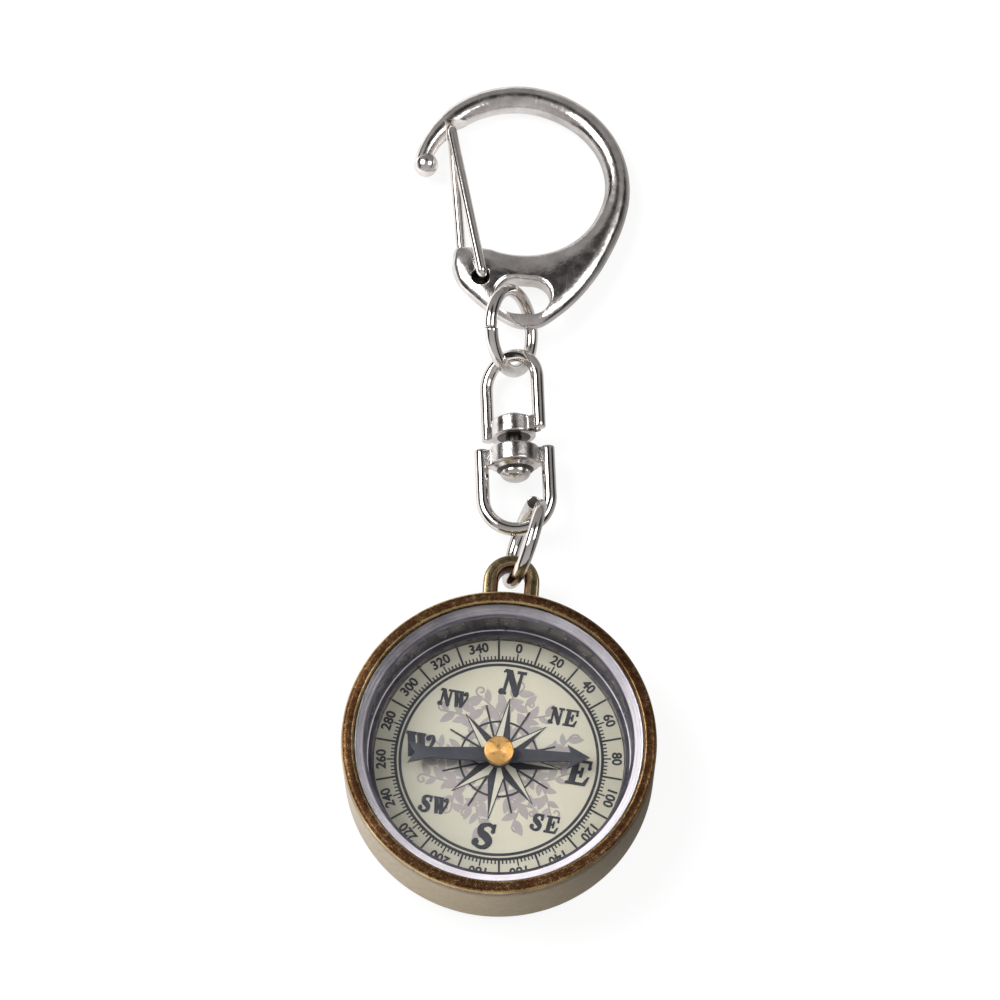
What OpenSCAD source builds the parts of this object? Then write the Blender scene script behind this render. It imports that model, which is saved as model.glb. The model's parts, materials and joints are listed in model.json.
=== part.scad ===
// Pocket compass on a key chain: a round brass case with a sealed compass capsule,
// two jump rings, a swivel and a snap clip with a wire gate. It lies on its back,
// with the centre of the case's flat back at the origin and the lug towards +Y.

/* [Case] */
// Outside diameter of the round case
case_d = 35; // [30:0.5:50]
// Height of the case from its back to its rim
case_h = 10.7; // [10:0.1:16]
// Wall of the case
case_wall = 1.4; // [1:0.1:2.5]
// Floor of the case
case_floor = 1.2; // [0.8:0.1:2]
// Rounding of the rim and of the back edge
case_round = 0.6; // [0.2:0.05:0.65]

/* [Lug] */
// Width of the lug across its ears
lug_w = 6.4; // [5.5:0.1:8]
// Thickness of the lug
lug_t = 2.6; // [2:0.1:4]
// How far the lug's tip stands out from the case
lug_reach = 5.9; // [5.5:0.1:8]
// Width of the hole in the lug
lug_hole_w = 3; // [2.8:0.1:3.6]
// Height of the lug's middle above the back
lug_z = 5; // [3:0.1:7]
// Thickness of the bar over the hole
lug_bar = 1.4; // [1:0.1:1.8]
// Rounding of the lug's edges
lug_round = 0.45; // [0.2:0.05:0.6]

/* [Capsule] */
// Thickness of the adhesive pad under the capsule
pad_t = 0.4; // [0.2:0.05:1]
// Floor of the capsule cup
cup_floor = 1.1; // [0.8:0.1:2]
// Wall of the capsule cup above its ledge
cup_wall = 0.6; // [0.4:0.05:1]
// Width of the ledge that carries the lens skirt
ledge_w = 1.3; // [1:0.05:2]
// Height of the ledge above the dial card
ledge_rise = 1.5; // [1:0.1:2.5]
// Thickness of the lens cover's window
lens_t = 1; // [0.8:0.1:1.5]
// Thickness of the lens cover's skirt
skirt_t = 0.6; // [0.4:0.05:0.8]
// How far the lens lies below the rim
lens_drop = 0.5; // [0.3:0.1:1.2]
// Thickness of the dial card
card_t = 0.4; // [0.2:0.05:0.8]
// Radial clearance of the capsule in the case
capsule_fit = 0.1; // [0.05:0.01:0.3]
// Radial clearance of the lens skirt and of the dial card in the cup
seat_fit = 0.05; // [0.02:0.01:0.15]

/* [Needle] */
// Length of the needle from tail to tip
needle_l = 20.4; // [16:0.2:24]
// Thickness of the needle's blade
needle_t = 0.3; // [0.2:0.05:0.5]
// Width of the blade beside the hub
blade_w = 1.7; // [1.2:0.1:2.4]
// Width of the arrow head
head_w = 2.8; // [2:0.1:3.6]
// Length of the arrow head
head_l = 2.6; // [2:0.1:3.6]
// Width of the swallow tail
tail_w = 2.5; // [1.6:0.1:3.4]
// Length of the swallow tail
tail_l = 2.4; // [1.6:0.1:3.4]
// Height of the blade above the dial card
needle_rise = 1.5; // [1:0.1:2]
// Direction of the needle's tip in degrees from +X
needle_dir = 2; // [-180:1:180]
// Diameter of the needle's cap
cap_d = 3.3; // [2.6:0.1:4.4]
// Thickness of the cap's upper disc
cap_t = 0.7; // [0.4:0.1:1]
// Diameter of the hub under the cap
hub_d = 2.4; // [2.2:0.1:2.5]
// Height of the hub from the blade to the cap's disc
hub_h = 1; // [0.8:0.1:1.4]
// Diameter of the bearing cup in the hub
bearing_d = 1.7; // [1.6:0.05:1.8]
// Depth of the bearing cup
bearing_h = 1.1; // [1:0.05:1.2]
// Diameter of the pivot pin
pin_d = 0.9; // [0.7:0.05:1.1]
// Radial clearance of the pivot pin in the bearing cup
pin_fit = 0.05; // [0.03:0.01:0.1]
// Length of the pin's pointed end
pin_point = 0.35; // [0.2:0.05:0.5]

/* [Jump rings] */
// Outside diameter of each jump ring
ring_d = 11; // [10.5:0.1:14]
// Wire of the jump rings
ring_wire = 1.5; // [1:0.05:1.6]
// Opening between the cut ends of each ring
ring_split = 0.15; // [0.1:0.05:1]
// Play of the jump rings in the lug, the bows and the eye
ring_play = 0.2; // [0.1:0.05:0.4]

/* [Swivel] */
// Height of the swivel's axis above the surface that the rings stand on
swivel_h = 3.8; // [3.6:0.1:4.2]
// Overall length of the swivel over both bows
swivel_l = 23.1; // [21.6:0.1:26]
// Width of the lower bow between the middles of its legs
low_bow_w = 7.7; // [7.4:0.1:9]
// Wire of the lower bow
low_bow_wire = 1.6; // [1.2:0.05:1.8]
// Length of the lower bow from its end to the tips of its legs
low_bow_l = 10.7; // [9.8:0.1:11]
// Width of the upper bow between the middles of its legs
up_bow_w = 7.1; // [6.8:0.1:9]
// Wire of the upper bow
up_bow_wire = 1.5; // [1.2:0.05:1.8]
// Length of the upper bow from its end to the tips of its legs
up_bow_l = 10.6; // [9.8:0.1:11]
// Diameter of the lower collar
low_collar_d = 5.8; // [5:0.1:6.4]
// Length of the lower collar without its tapered end
low_collar_l = 2.3; // [1.8:0.1:3]
// Length of the lower collar's tapered end
collar_taper = 0.6; // [0.3:0.1:1]
// Diameter of the upper collar
up_collar_d = 5.1; // [4.6:0.1:6]
// Length of the upper collar
up_collar_l = 2.1; // [1.6:0.1:3]
// Space between the collars, where the rivet shows
collar_space = 1.4; // [0.8:0.1:2]
// Diameter of the rivet's shank
rivet_d = 1.8; // [1.2:0.1:2.4]
// Diameter of the rivet's domed head
rivet_head_d = 3.5; // [3:0.1:4.2]
// Height of the rivet's domed head
rivet_head_h = 1.1; // [0.8:0.1:1.4]
// Radial clearance of the rivet in the lower collar
swivel_fit = 0.05; // [0.03:0.01:0.1]

/* [Clip] */
// Radius of the clip's ring opening
clip_r = 9.3; // [8.8:0.1:12]
// Thickness of the clip's plate
plate_t = 2.7; // [2.4:0.1:2.8]
// Thickness of the horn across its middle
horn_t = 3.1; // [2.6:0.1:3.6]
// Width of the eye in the plate
eye_w = 6.2; // [5.6:0.1:7]
// Height of the eye in the plate
eye_h = 4.5; // [4:0.1:5]
// Diameter of the ball at the horn's nose
nose_ball_d = 2.9; // [2.5:0.1:3]
// Wire of the gate
gate_wire = 1.2; // [0.9:0.05:1.3]
// Radius of the gate's closed end
gate_loop_r = 1.3; // [0.9:0.05:1.4]
// How far the gate swings open in degrees
gate_open = 18; // [10:1:20]
// Diameter of the two holes that hold the gate's ends
gate_hole_d = 1.9; // [1.85:0.05:2]
// Depth of each gate hole
gate_hole_depth = 1.6; // [1.2:0.1:2]
// How far the gate's legs stand off the plate
gate_lift = 0.42; // [0.38:0.02:0.6]
// Width of the bevel round the eye
eye_bevel = 0.55; // [0.2:0.05:0.6]
// Clearance between the gate and the clip where they rest on each other
gate_gap = 0.15; // [0.08:0.01:0.3]

/* [Hidden] */
$fn = 64;

// How far a cutting shape runs past the face that it cuts
over = 0.5;
// Segments of a quarter round
round_steps = 6;
// Clearance between parts that are brazed or pressed together
braze_gap = 0.02;

// Heights in the capsule, from the case floor upwards
pad_z = case_floor;
cup_z = pad_z + pad_t;
card_z = cup_z + cup_floor;
card_top = card_z + card_t;
ledge_z = card_top + ledge_rise;
lens_top = case_h - lens_drop;
lens_z = lens_top - lens_t;
case_r = case_d / 2;
bore_r = case_r - case_wall;
cup_r = bore_r - capsule_fit;
well_r = cup_r - cup_wall - ledge_w;

// Heights of the needle and its bearing
needle_z = card_top + needle_rise;
hub_top = needle_z + needle_t + hub_h;
bearing_z = hub_top - bearing_h;
pin_tip_gap = 0.04;
pin_top = bearing_z + bearing_h * 0.75 - pin_tip_gap;
needle_head_share = 0.5;
head_reach = needle_l * needle_head_share;
tail_reach = needle_l - head_reach;

// Lug outline: a round end of the ear's radius on two straight sides
lug_r = lug_w / 2;
lug_hole_r = lug_hole_w / 2;
lug_y = case_r + lug_reach - lug_r;
lug_hole_y = case_r + lug_reach - lug_bar - lug_hole_r;

// Each jump ring stands on its edge, turned about +Z and leaning sideways by these degrees
ring_r = (ring_d - ring_wire) / 2;
ring_hole_r = ring_r - ring_wire / 2;
rest_gap = 0.02;
low_ring_turn = -10;
low_ring_lean = 15;
up_ring_turn = -4;
up_ring_lean = -29;
// Where each ring is split, in degrees round the ring from its lowest point
low_ring_split = 105;
up_ring_split = 200;
low_ring_near = [lug_hole_r / 8, lug_hole_y + ring_play / 4];
low_ring_at = [low_ring_near[0] - ring_r * sin(low_ring_turn), low_ring_near[1] + ring_r * cos(low_ring_turn),
    ring_r * cos(low_ring_lean) + ring_wire / 2 + rest_gap];

// The lower bow hangs in the lower ring, below the ring's middle
swivel_turn = 6.2;
low_spin = -4;
up_spin = -34;
low_hook = ring_hole_r - low_bow_wire / 2 - ring_play;
low_hook_y = sqrt(pow(low_hook, 2) - pow((low_ring_at[2] - swivel_h) / cos(low_ring_lean), 2));
bow_rise = low_bow_w / 2 - sqrt(pow(low_bow_w / 2, 2) - pow(ring_wire, 2));
swivel_at = [low_ring_at[0] - low_bow_w * 0.088, low_ring_at[1] + low_hook_y - bow_rise - low_bow_wire / 2,
    swivel_h];
swivel_end = [swivel_at[0] - swivel_l * sin(swivel_turn), swivel_at[1] + swivel_l * cos(swivel_turn)];
low_collar_y = low_bow_l - low_collar_l;
up_collar_y = low_bow_l + collar_space;

// The upper bow hangs in the upper ring in the same way
up_ring_z = ring_r * cos(up_ring_lean) + ring_wire / 2 + rest_gap;
up_hook = ring_hole_r - up_bow_wire / 2 - ring_play;
up_hook_y = sqrt(pow(up_hook, 2) - pow((up_ring_z - swivel_h) / cos(up_ring_lean), 2));
up_ring_at = [swivel_end[0], swivel_end[1] - up_bow_wire / 2 + up_hook_y, up_ring_z];

// The clip is placed by the middle of its opening, and its horn reaches down to the surface
clip_pitch = -3.6;
eye_at = [clip_r * 0.135, -clip_r * 1.67];
horn_top_share = 1.37;
clip_at = [up_ring_at[0] - eye_at[0] + eye_w * 0.18,
    up_ring_at[1] + ring_r * 0.98 - eye_at[1] * cos(clip_pitch),
    horn_t / 2 + rest_gap - clip_r * horn_top_share * sin(clip_pitch)];

// Places of the gate's front end, back end and closed end round the middle of the opening
gate_front = [-clip_r * 0.41, -clip_r * 1.43];
gate_back = [-clip_r * 0.67, -clip_r * 1.17];
gate_tip = [-clip_r * 0.957, clip_r * 0.717];
gate_pivot = (gate_front + gate_back) / 2;
gate_side = plate_t / 2 + gate_wire / 2 + gate_lift;
corner_share = 1.08;

function arc(cx, cy, r, a0, a1) =
    [for (i = [0:round_steps]) let (a = a0 + (a1 - a0) * i / round_steps) [cx + r * cos(a), cy + r * sin(a)]];

module case() {
    color("#6b5537") {
        difference() {
            union() {
                rotate_extrude($fn = 128)
                    polygon(concat([[0, 0]], arc(case_r - case_round, case_round, case_round, -90, 0),
                        arc(case_r - case_round, case_h - case_round, case_round, 0, 90),
                        arc(bore_r + case_round / 2, case_h - case_round / 2, case_round / 2, 90, 180),
                        [[bore_r, case_floor], [0, case_floor]]));
                lug();
            }
            translate([0, lug_hole_y, lug_z - lug_t])
                cylinder(r = lug_hole_r, h = lug_t * 2);
            translate([-lug_hole_r, case_r + case_wall / 2, lug_z - lug_t])
                cube([lug_hole_w, lug_hole_y - case_r - case_wall / 2, lug_t * 2]);
        }
    }
}

module lug_section() {
    w = lug_r - lug_hole_r + over;
    x0 = lug_r - w;
    z1 = lug_t / 2;
    polygon(concat([[x0, -z1]], arc(lug_r - lug_round, lug_round - z1, lug_round, -90, 0),
        arc(lug_r - lug_round, z1 - lug_round, lug_round, 0, 90), [[x0, z1]]));
}

module lug() {
    leg = lug_y - bore_r - case_wall / 2;
    translate([0, lug_y, lug_z]) {
        rotate_extrude(angle = 180)
            lug_section();
        for (side = [0, 1])
            mirror([side, 0, 0])
                rotate([90, 0, 0])
                    linear_extrude(leg)
                        lug_section();
    }
}

module adhesive_pad() {
    color("#d9d6cc")
        translate([0, 0, pad_z])
            cylinder(r = well_r, h = pad_t);
}

module capsule_cup() {
    color("#c9cbd2", 0.5)
        difference() {
            rotate_extrude($fn = 128)
                polygon([[0, cup_z], [cup_r, cup_z], [cup_r, lens_z], [cup_r - cup_wall, lens_z],
                    [cup_r - cup_wall, ledge_z], [well_r, ledge_z], [well_r, card_z], [0, card_z]]);
            translate([0, 0, cup_z - over])
                cylinder(d = pin_d + 2 * braze_gap, h = cup_floor + 2 * over);
        }
}

module dial_card() {
    color("#c6c2b1")
        translate([0, 0, card_z])
            difference() {
                cylinder(r = well_r - seat_fit, h = card_t, $fn = 128);
                translate([0, 0, -over])
                    cylinder(d = pin_d + 2 * seat_fit, h = card_t + 2 * over);
            }
}

module pivot_pin() {
    color("#b9bcc2")
        translate([0, 0, cup_z]) {
            cylinder(d = pin_d, h = pin_top - pin_point - cup_z);
            translate([0, 0, pin_top - pin_point - cup_z])
                cylinder(d1 = pin_d, d2 = pin_d / 6, h = pin_point);
        }
}

module bearing_cup() {
    color("#e8e4da")
        translate([0, 0, bearing_z])
            difference() {
                cylinder(d = bearing_d, h = bearing_h - braze_gap);
                translate([0, 0, -over])
                    cylinder(d = pin_d + 2 * pin_fit, h = bearing_h * 0.75 + over);
            }
}

module needle() {
    color("#3c3e46")
        rotate([0, 0, needle_dir])
            translate([0, 0, needle_z])
                difference() {
                    union() {
                        cylinder(d = hub_d, h = needle_t);
                        linear_extrude(needle_t)
                            polygon([[head_reach, 0], [head_reach - head_l, head_w / 2],
                            [head_reach - head_l, blade_w * 0.3], [hub_d / 2, blade_w / 2],
                            [-hub_d / 2, blade_w / 2], [tail_l - tail_reach, blade_w * 0.36],
                            [-tail_reach, tail_w / 2], [tail_l / 3 - tail_reach, 0],
                            [-tail_reach, -tail_w / 2], [tail_l - tail_reach, -blade_w * 0.36],
                            [-hub_d / 2, -blade_w / 2], [hub_d / 2, -blade_w / 2],
                            [head_reach - head_l, -blade_w * 0.3], [head_reach - head_l, -head_w / 2]]);
                    }
                    translate([0, 0, -over])
                        cylinder(d = bearing_d + 2 * braze_gap, h = needle_t + 2 * over);
                }
}

module needle_cap() {
    color("#d9a44e")
        translate([0, 0, needle_z + needle_t])
            difference() {
                union() {
                    cylinder(d = hub_d, h = hub_h);
                    translate([0, 0, hub_h])
                        cylinder(d = cap_d, h = cap_t);
                }
                translate([0, 0, -over])
                    cylinder(d = bearing_d + 2 * braze_gap, h = hub_h + over);
            }
}

module lens_cover() {
    color("#dfe3ea", 0.35)
        rotate_extrude($fn = 128)
            polygon([[0, lens_z], [cup_r - cup_wall - seat_fit - skirt_t, lens_z],
                [cup_r - cup_wall - seat_fit - skirt_t, ledge_z], [cup_r - cup_wall - seat_fit, ledge_z],
                [cup_r - cup_wall - seat_fit, lens_z], [cup_r, lens_z], [cup_r, lens_top], [0, lens_top]]);
}

module jump_ring(at, turn, lean, split_at) {
    translate(at)
        rotate([0, 90 + lean, turn])
            difference() {
                rotate_extrude($fn = 96)
                    translate([ring_r, 0])
                        circle(d = ring_wire, $fn = 32);
                rotate([0, 0, split_at])
                    translate([ring_r - ring_wire, -ring_split / 2, -ring_wire])
                        cube([ring_wire * 2, ring_split, ring_wire * 2]);
            }
}

module lower_jump_ring() {
    color("#c8c4bd")
        jump_ring(low_ring_at, low_ring_turn, low_ring_lean, low_ring_split);
}

module upper_jump_ring() {
    color("#c8c4bd")
        jump_ring(up_ring_at, up_ring_turn, up_ring_lean, up_ring_split);
}

module at_swivel(spin) {
    translate(swivel_at)
        rotate([0, 0, swivel_turn])
            rotate([0, spin, 0])
                children();
}

// A bow with its round end at the origin and its legs towards +Y
module bow(width, wire, length) {
    r = width / 2;
    middle = r + wire / 2;
    translate([0, middle, 0]) {
        rotate([0, 0, 180])
            rotate_extrude(angle = 180, $fn = 96)
                translate([r, 0])
                    circle(d = wire, $fn = 32);
        for (side = [-1, 1])
            translate([side * r, 0, 0])
                rotate([-90, 0, 0])
                    cylinder(d = wire, h = length - middle, $fn = 32);
    }
}

// A collar on the swivel's axis, with an ear towards each leg of its bow
module collar(d, length, width, wire, bore) {
    rotate([-90, 0, 0])
        difference() {
            union() {
                cylinder(d = d, h = length);
                translate([-width / 2, -wire / 2, 0])
                    cube([width, wire, length]);
            }
            translate([0, 0, -length])
                cylinder(d = bore, h = length * 3);
            for (side = [-1, 1])
                translate([side * width / 2, 0, -length])
                    cylinder(d = wire + 2 * braze_gap, h = length * 3, $fn = 32);
        }
}

module swivel_lower_bow() {
    color("#c8c4bd")
        at_swivel(low_spin)
            bow(low_bow_w, low_bow_wire, low_bow_l);
}

module swivel_lower_collar() {
    color("#d2cec7")
        at_swivel(low_spin) {
            translate([0, low_collar_y, 0])
                collar(low_collar_d, low_collar_l, low_bow_w, low_bow_wire, rivet_d + 2 * swivel_fit);
            translate([0, low_collar_y - collar_taper, 0])
                rotate([-90, 0, 0])
                    difference() {
                        cylinder(d1 = rivet_head_d + 2 * braze_gap, d2 = low_collar_d - low_bow_wire / 2,
                            h = collar_taper);
                        translate([0, 0, -over])
                            cylinder(d = rivet_d + 2 * swivel_fit, h = collar_taper + 2 * over);
                    }
        }
}

module swivel_rivet() {
    head_y = low_collar_y - collar_taper - swivel_fit;
    end_y = up_collar_y + up_collar_l + braze_gap;
    dome_r = (pow(rivet_head_d / 2, 2) + pow(rivet_head_h, 2)) / (2 * rivet_head_h);
    color("#d2cec7")
        at_swivel(up_spin) {
            translate([0, head_y, 0])
                rotate([-90, 0, 0])
                    cylinder(d = rivet_d, h = end_y - head_y);
            translate([0, head_y, 0])
                rotate([90, 0, 0])
                    intersection() {
                        translate([0, 0, rivet_head_h - dome_r])
                            sphere(r = dome_r, $fn = 96);
                        cylinder(d = rivet_head_d, h = rivet_head_h);
                    }
            translate([0, end_y, 0])
                rotate([-90, 0, 0])
                    cylinder(d = rivet_head_d * 0.8, h = rivet_head_h / 2);
        }
}

module swivel_upper_collar() {
    color("#d2cec7")
        at_swivel(up_spin)
            translate([0, up_collar_y, 0])
                collar(up_collar_d, up_collar_l, up_bow_w, up_bow_wire, rivet_d + 2 * braze_gap);
}

module swivel_upper_bow() {
    color("#c8c4bd")
        at_swivel(up_spin)
            translate([0, swivel_l, 0])
                rotate([0, 0, 180])
                    bow(up_bow_w, up_bow_wire, up_bow_l);
}

module at_clip() {
    translate(clip_at)
        rotate([clip_pitch, 0, 0])
            children();
}

// Outline of the clip round the middle of its opening: the bearing in degrees, then the outer
// and the inner edge as shares of the opening's radius
clip_edge_shares = [[-129.5, 1.27, 1.262], [-129, 1.285, 1.255], [-128, 1.315, 1.24], [-126, 1.375, 1.215],
    [-122, 1.525, 1.16], [-118, 1.605, 1.11], [-114, 1.68, 1.075], [-108, 1.755, 1.045],
    [-104, 1.81, 1.045], [-95, 1.955, 1.05], [-89, 2.05, 1.05],
    [-84, 2.08, 1.055], [-79, 2.055, 1.06], [-72, 1.94, 1.065], [-62, 1.785, 1.075], [-50, 1.63, 1.08],
    [-36, 1.5, 1.08], [-20, 1.425, 1.07], [-2, 1.39, 1.07], [16, 1.37, 1.055], [40, 1.365, 1.035],
    [65, 1.38, 1.025], [90, 1.41, 1.055], [112, 1.43, 1.09], [130, 1.435, 1.12], [144, 1.425, 1.15],
    [154, 1.42, 1.185], [162, 1.42, 1.2], [168, 1.42, 1.205], [172, 1.41, 1.2]];

// The section at some bearings: how much of the plate's and of the horn's thickness its half
// thickness takes, and its squareness, where 0 is a flat plate and 1 a round bar
clip_form_shares = [[-129.5, 0.42, 0, 0.5], [-120, 0.5, 0, 0.42], [-60, 0.5, 0, 0.42], [-30, 0.25, 0.23, 0.65],
    [0, 0, 0.49, 0.9], [40, 0, 0.5, 1], [120, 0, 0.5, 1], [150, 0, 0.42, 1], [172, 0, 0.3, 1]];

function lookup_row(rows, a, i = 0) =
    i >= len(rows) - 2 || a <= rows[i + 1][0] ? i : lookup_row(rows, a, i + 1);

function blend(rows, a, col) =
    let (i = lookup_row(rows, a), n = len(rows),
        t = (a - rows[i][0]) / (rows[i + 1][0] - rows[i][0]),
        p0 = rows[max(i - 1, 0)], p1 = rows[i], p2 = rows[i + 1], p3 = rows[min(i + 2, n - 1)],
        span = p2[0] - p1[0],
        m1 = (p2[col] - p0[col]) / (p2[0] - p0[0]) * span,
        m2 = (p3[col] - p1[col]) / (p3[0] - p1[0]) * span)
    (2 * t * t * t - 3 * t * t + 1) * p1[col] + (t * t * t - 2 * t * t + t) * m1
        + (3 * t * t - 2 * t * t * t) * p2[col] + (t * t * t - t * t) * m2;

function soft(v, e) = v < 0 ? -pow(-v, e) : pow(v, e);

clip_steps = 84;
clip_sides = 20;
clip_from = clip_edge_shares[0][0];
clip_to = clip_edge_shares[len(clip_edge_shares) - 1][0];

function clip_ring(a) =
    let (outer = clip_r * blend(clip_edge_shares, a, 1), inner = clip_r * blend(clip_edge_shares, a, 2),
        h = plate_t * blend(clip_form_shares, a, 1) + horn_t * blend(clip_form_shares, a, 2),
        e = blend(clip_form_shares, a, 3),
        m = (outer + inner) / 2, w = (outer - inner) / 2)
    [for (j = [0:clip_sides - 1]) let (q = 360 * j / clip_sides, r = m + w * soft(cos(q), e))
        [r * cos(a), r * sin(a), h * soft(sin(q), e)]];

clip_points = [for (i = [0:clip_steps]) each clip_ring(clip_from + (clip_to - clip_from) * i / clip_steps)];
clip_faces = concat(
    [[for (j = [0:clip_sides - 1]) clip_sides - 1 - j]],
    [[for (j = [0:clip_sides - 1]) clip_steps * clip_sides + j]],
    [for (i = [0:clip_steps - 1], j = [0:clip_sides - 1])
        let (k = (j + 1) % clip_sides, p = i * clip_sides, q = p + clip_sides)
        each [[p + j, q + k, q + j], [p + j, p + k, q + k]]]);

// The eye: two round ends and the straight stretch between them, from one size to another
module eye(grow_low, grow_high, h) {
    low = eye_h / 2 + grow_low;
    high = eye_h / 2 + grow_high;
    reach = (eye_w - eye_h) / 2;
    for (side = [-1, 1])
        translate([side * reach, 0, 0])
            cylinder(r1 = low, r2 = high, h = h);
    translate([-reach, 0, 0])
        rotate([90, 0, 90])
            linear_extrude(2 * reach)
                polygon([[-low, 0], [low, 0], [high, h], [-high, h]]);
}

// A straight round wire from one point to another
module rod(a, b, d) {
    v = b - a;
    l = norm(v);
    translate(a)
        rotate([0, acos(v[2] / l), atan2(v[1], v[0])])
            cylinder(d = d, h = l);
}

function turned(p, a) = [p[0] * cos(a) - p[1] * sin(a), p[0] * sin(a) + p[1] * cos(a)];

// A hole for one end of the gate, in the middle of the way that the end moves
module gate_hole(end, side) {
    p = gate_pivot + turned(end - gate_pivot, -gate_open / 2);
    translate([p[0], p[1], side > 0 ? plate_t / 2 - gate_hole_depth : -plate_t])
        cylinder(d = gate_hole_d, h = plate_t / 2 + gate_hole_depth);
}

// The seat in the nose, cut along the path of the gate's closed end
module gate_seat() {
    reach = norm(gate_tip - gate_pivot) + gate_wire / 2 + gate_gap;
    bearing = atan2(gate_tip[1] - gate_pivot[1], gate_tip[0] - gate_pivot[0]);
    translate([gate_pivot[0], gate_pivot[1], -horn_t])
        rotate([0, 0, bearing])
            intersection() {
                cylinder(r = reach, h = horn_t * 2, $fn = 128);
                translate([reach / 2, gate_wire / 2 + gate_gap - reach / 2, 0])
                    cube([reach, reach / 2, horn_t * 2]);
            }
}

module clip_body() {
    color("#c4c0b9")
        at_clip()
            difference() {
                union() {
                    polyhedron(clip_points, clip_faces);
                    translate([-clip_r * 1.245, clip_r * 0.188, 0])
                        sphere(d = nose_ball_d);
                }
                translate([eye_at[0], eye_at[1], -plate_t])
                    eye(0, 0, plate_t * 2);
                for (side = [0, 1])
                    mirror([0, 0, side])
                        translate([eye_at[0], eye_at[1], plate_t / 2 - eye_bevel])
                            eye(0, eye_bevel * 2, eye_bevel * 2);
                gate_hole(gate_front, 1);
                gate_hole(gate_back, -1);
                gate_seat();
            }
}

module clip_gate() {
    axis = (gate_tip - gate_pivot) / norm(gate_tip - gate_pivot);
    loop = gate_tip - axis * gate_loop_r;
    depth = gate_side - plate_t / 2 + gate_hole_depth - gate_gap - gate_wire / 2;
    color("#cfcbc4")
        at_clip() {
            for (leg = [[gate_front, 1], [gate_back, -1]]) {
                elbow = [leg[0][0], leg[0][1], leg[1] * gate_side];
                bend = [loop[0], loop[1], leg[1] * gate_loop_r];
                rod(elbow, elbow - [0, 0, leg[1] * depth], gate_wire);
                rod(elbow, bend, gate_wire);
                for (corner = [elbow, bend])
                    translate(corner)
                        sphere(d = gate_wire * corner_share);
            }
            translate([loop[0], loop[1], 0])
                rotate([0, 0, atan2(axis[1], axis[0])])
                    rotate([90, 0, 0])
                        rotate([0, 0, -90])
                            rotate_extrude(angle = 180)
                                translate([gate_loop_r, 0])
                                    circle(d = gate_wire, $fn = 32);
        }
}

case();
adhesive_pad();
capsule_cup();
dial_card();
pivot_pin();
bearing_cup();
needle();
needle_cap();
lens_cover();
lower_jump_ring();
swivel_lower_bow();
swivel_lower_collar();
swivel_rivet();
swivel_upper_collar();
swivel_upper_bow();
upper_jump_ring();
clip_body();
clip_gate();
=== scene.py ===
import bpy
import bmesh
import json
import math
from mathutils import Matrix, Vector, geometry


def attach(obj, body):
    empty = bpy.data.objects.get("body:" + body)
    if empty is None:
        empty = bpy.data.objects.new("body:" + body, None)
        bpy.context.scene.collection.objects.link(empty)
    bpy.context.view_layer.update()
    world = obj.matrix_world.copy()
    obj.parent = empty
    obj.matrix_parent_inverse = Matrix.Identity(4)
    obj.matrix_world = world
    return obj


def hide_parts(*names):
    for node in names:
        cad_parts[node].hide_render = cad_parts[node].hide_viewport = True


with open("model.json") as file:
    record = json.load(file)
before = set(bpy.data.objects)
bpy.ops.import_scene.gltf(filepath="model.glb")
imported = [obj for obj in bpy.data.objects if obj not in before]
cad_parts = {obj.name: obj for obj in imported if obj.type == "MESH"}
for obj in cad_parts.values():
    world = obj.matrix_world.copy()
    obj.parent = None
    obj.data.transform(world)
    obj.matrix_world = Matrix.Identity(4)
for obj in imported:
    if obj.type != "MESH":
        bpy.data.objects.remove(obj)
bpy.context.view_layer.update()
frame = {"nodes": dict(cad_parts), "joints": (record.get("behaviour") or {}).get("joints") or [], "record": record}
nodes = frame["nodes"]
joints = {joint["name"]: joint for joint in frame["joints"]}
mounts = {mount["name"]: mount for mount in frame["record"]["mounts"]}
mm = 0.001  # shapes are drawn in millimetres
scene = bpy.context.scene
print("frame loaded:", len(nodes), "solids")


def jointPlace(name):
    return Vector(joints[name]["pos_m"]) / mm


def blend(a, b, t):
    return a + (b - a) * t


def onArc(r, degrees):
    return r * math.cos(math.radians(degrees)), r * math.sin(math.radians(degrees))


def spin(degrees, axis="Z"):
    return Matrix.Rotation(math.radians(degrees), 4, axis)


def shift(x, y, z=0):
    return Matrix.Translation((x * mm, y * mm, z * mm))


def turnMatrix(at, x=0, y=0, z=0):
    return shift(*at) @ spin(z) @ spin(y, "Y") @ spin(x, "X")


def addObject(name, data):
    thing = bpy.data.objects.new(name, data)
    scene.collection.objects.link(thing)
    return thing


def addPiece(name, points, faces, edges=(), scale=mm):
    mesh = bpy.data.meshes.new(name)
    mesh.from_pydata([tuple(c * scale for c in p) for p in points], edges, faces)
    mesh.update()
    return addObject(name, mesh)


def paint(piece, *finishes):
    piece.data.materials.clear()
    for finish in finishes:
        piece.data.materials.append(finish)
    return piece


def smooth(piece, angle):
    piece.data.shade_smooth()
    piece.data.set_sharp_from_angle(angle=math.radians(angle))
    return piece


def bakeModifiers(piece):
    # the evaluated result becomes the piece's own plain mesh
    graph = bpy.context.evaluated_depsgraph_get()
    mesh = bpy.data.meshes.new_from_object(piece.evaluated_get(graph), depsgraph=graph)
    mesh.name = piece.name
    if piece.type == "MESH":
        piece.modifiers.clear()
        piece.data = mesh
        return piece
    name = piece.name
    bpy.data.objects.remove(piece)
    return addObject(name, mesh)


def bevelEdges(piece, width, angle):
    mod = piece.modifiers.new("soft edge", "BEVEL")
    mod.width, mod.segments, mod.limit_method, mod.angle_limit = width * mm, 2, "ANGLE", math.radians(angle)
    return bakeModifiers(piece)


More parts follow.
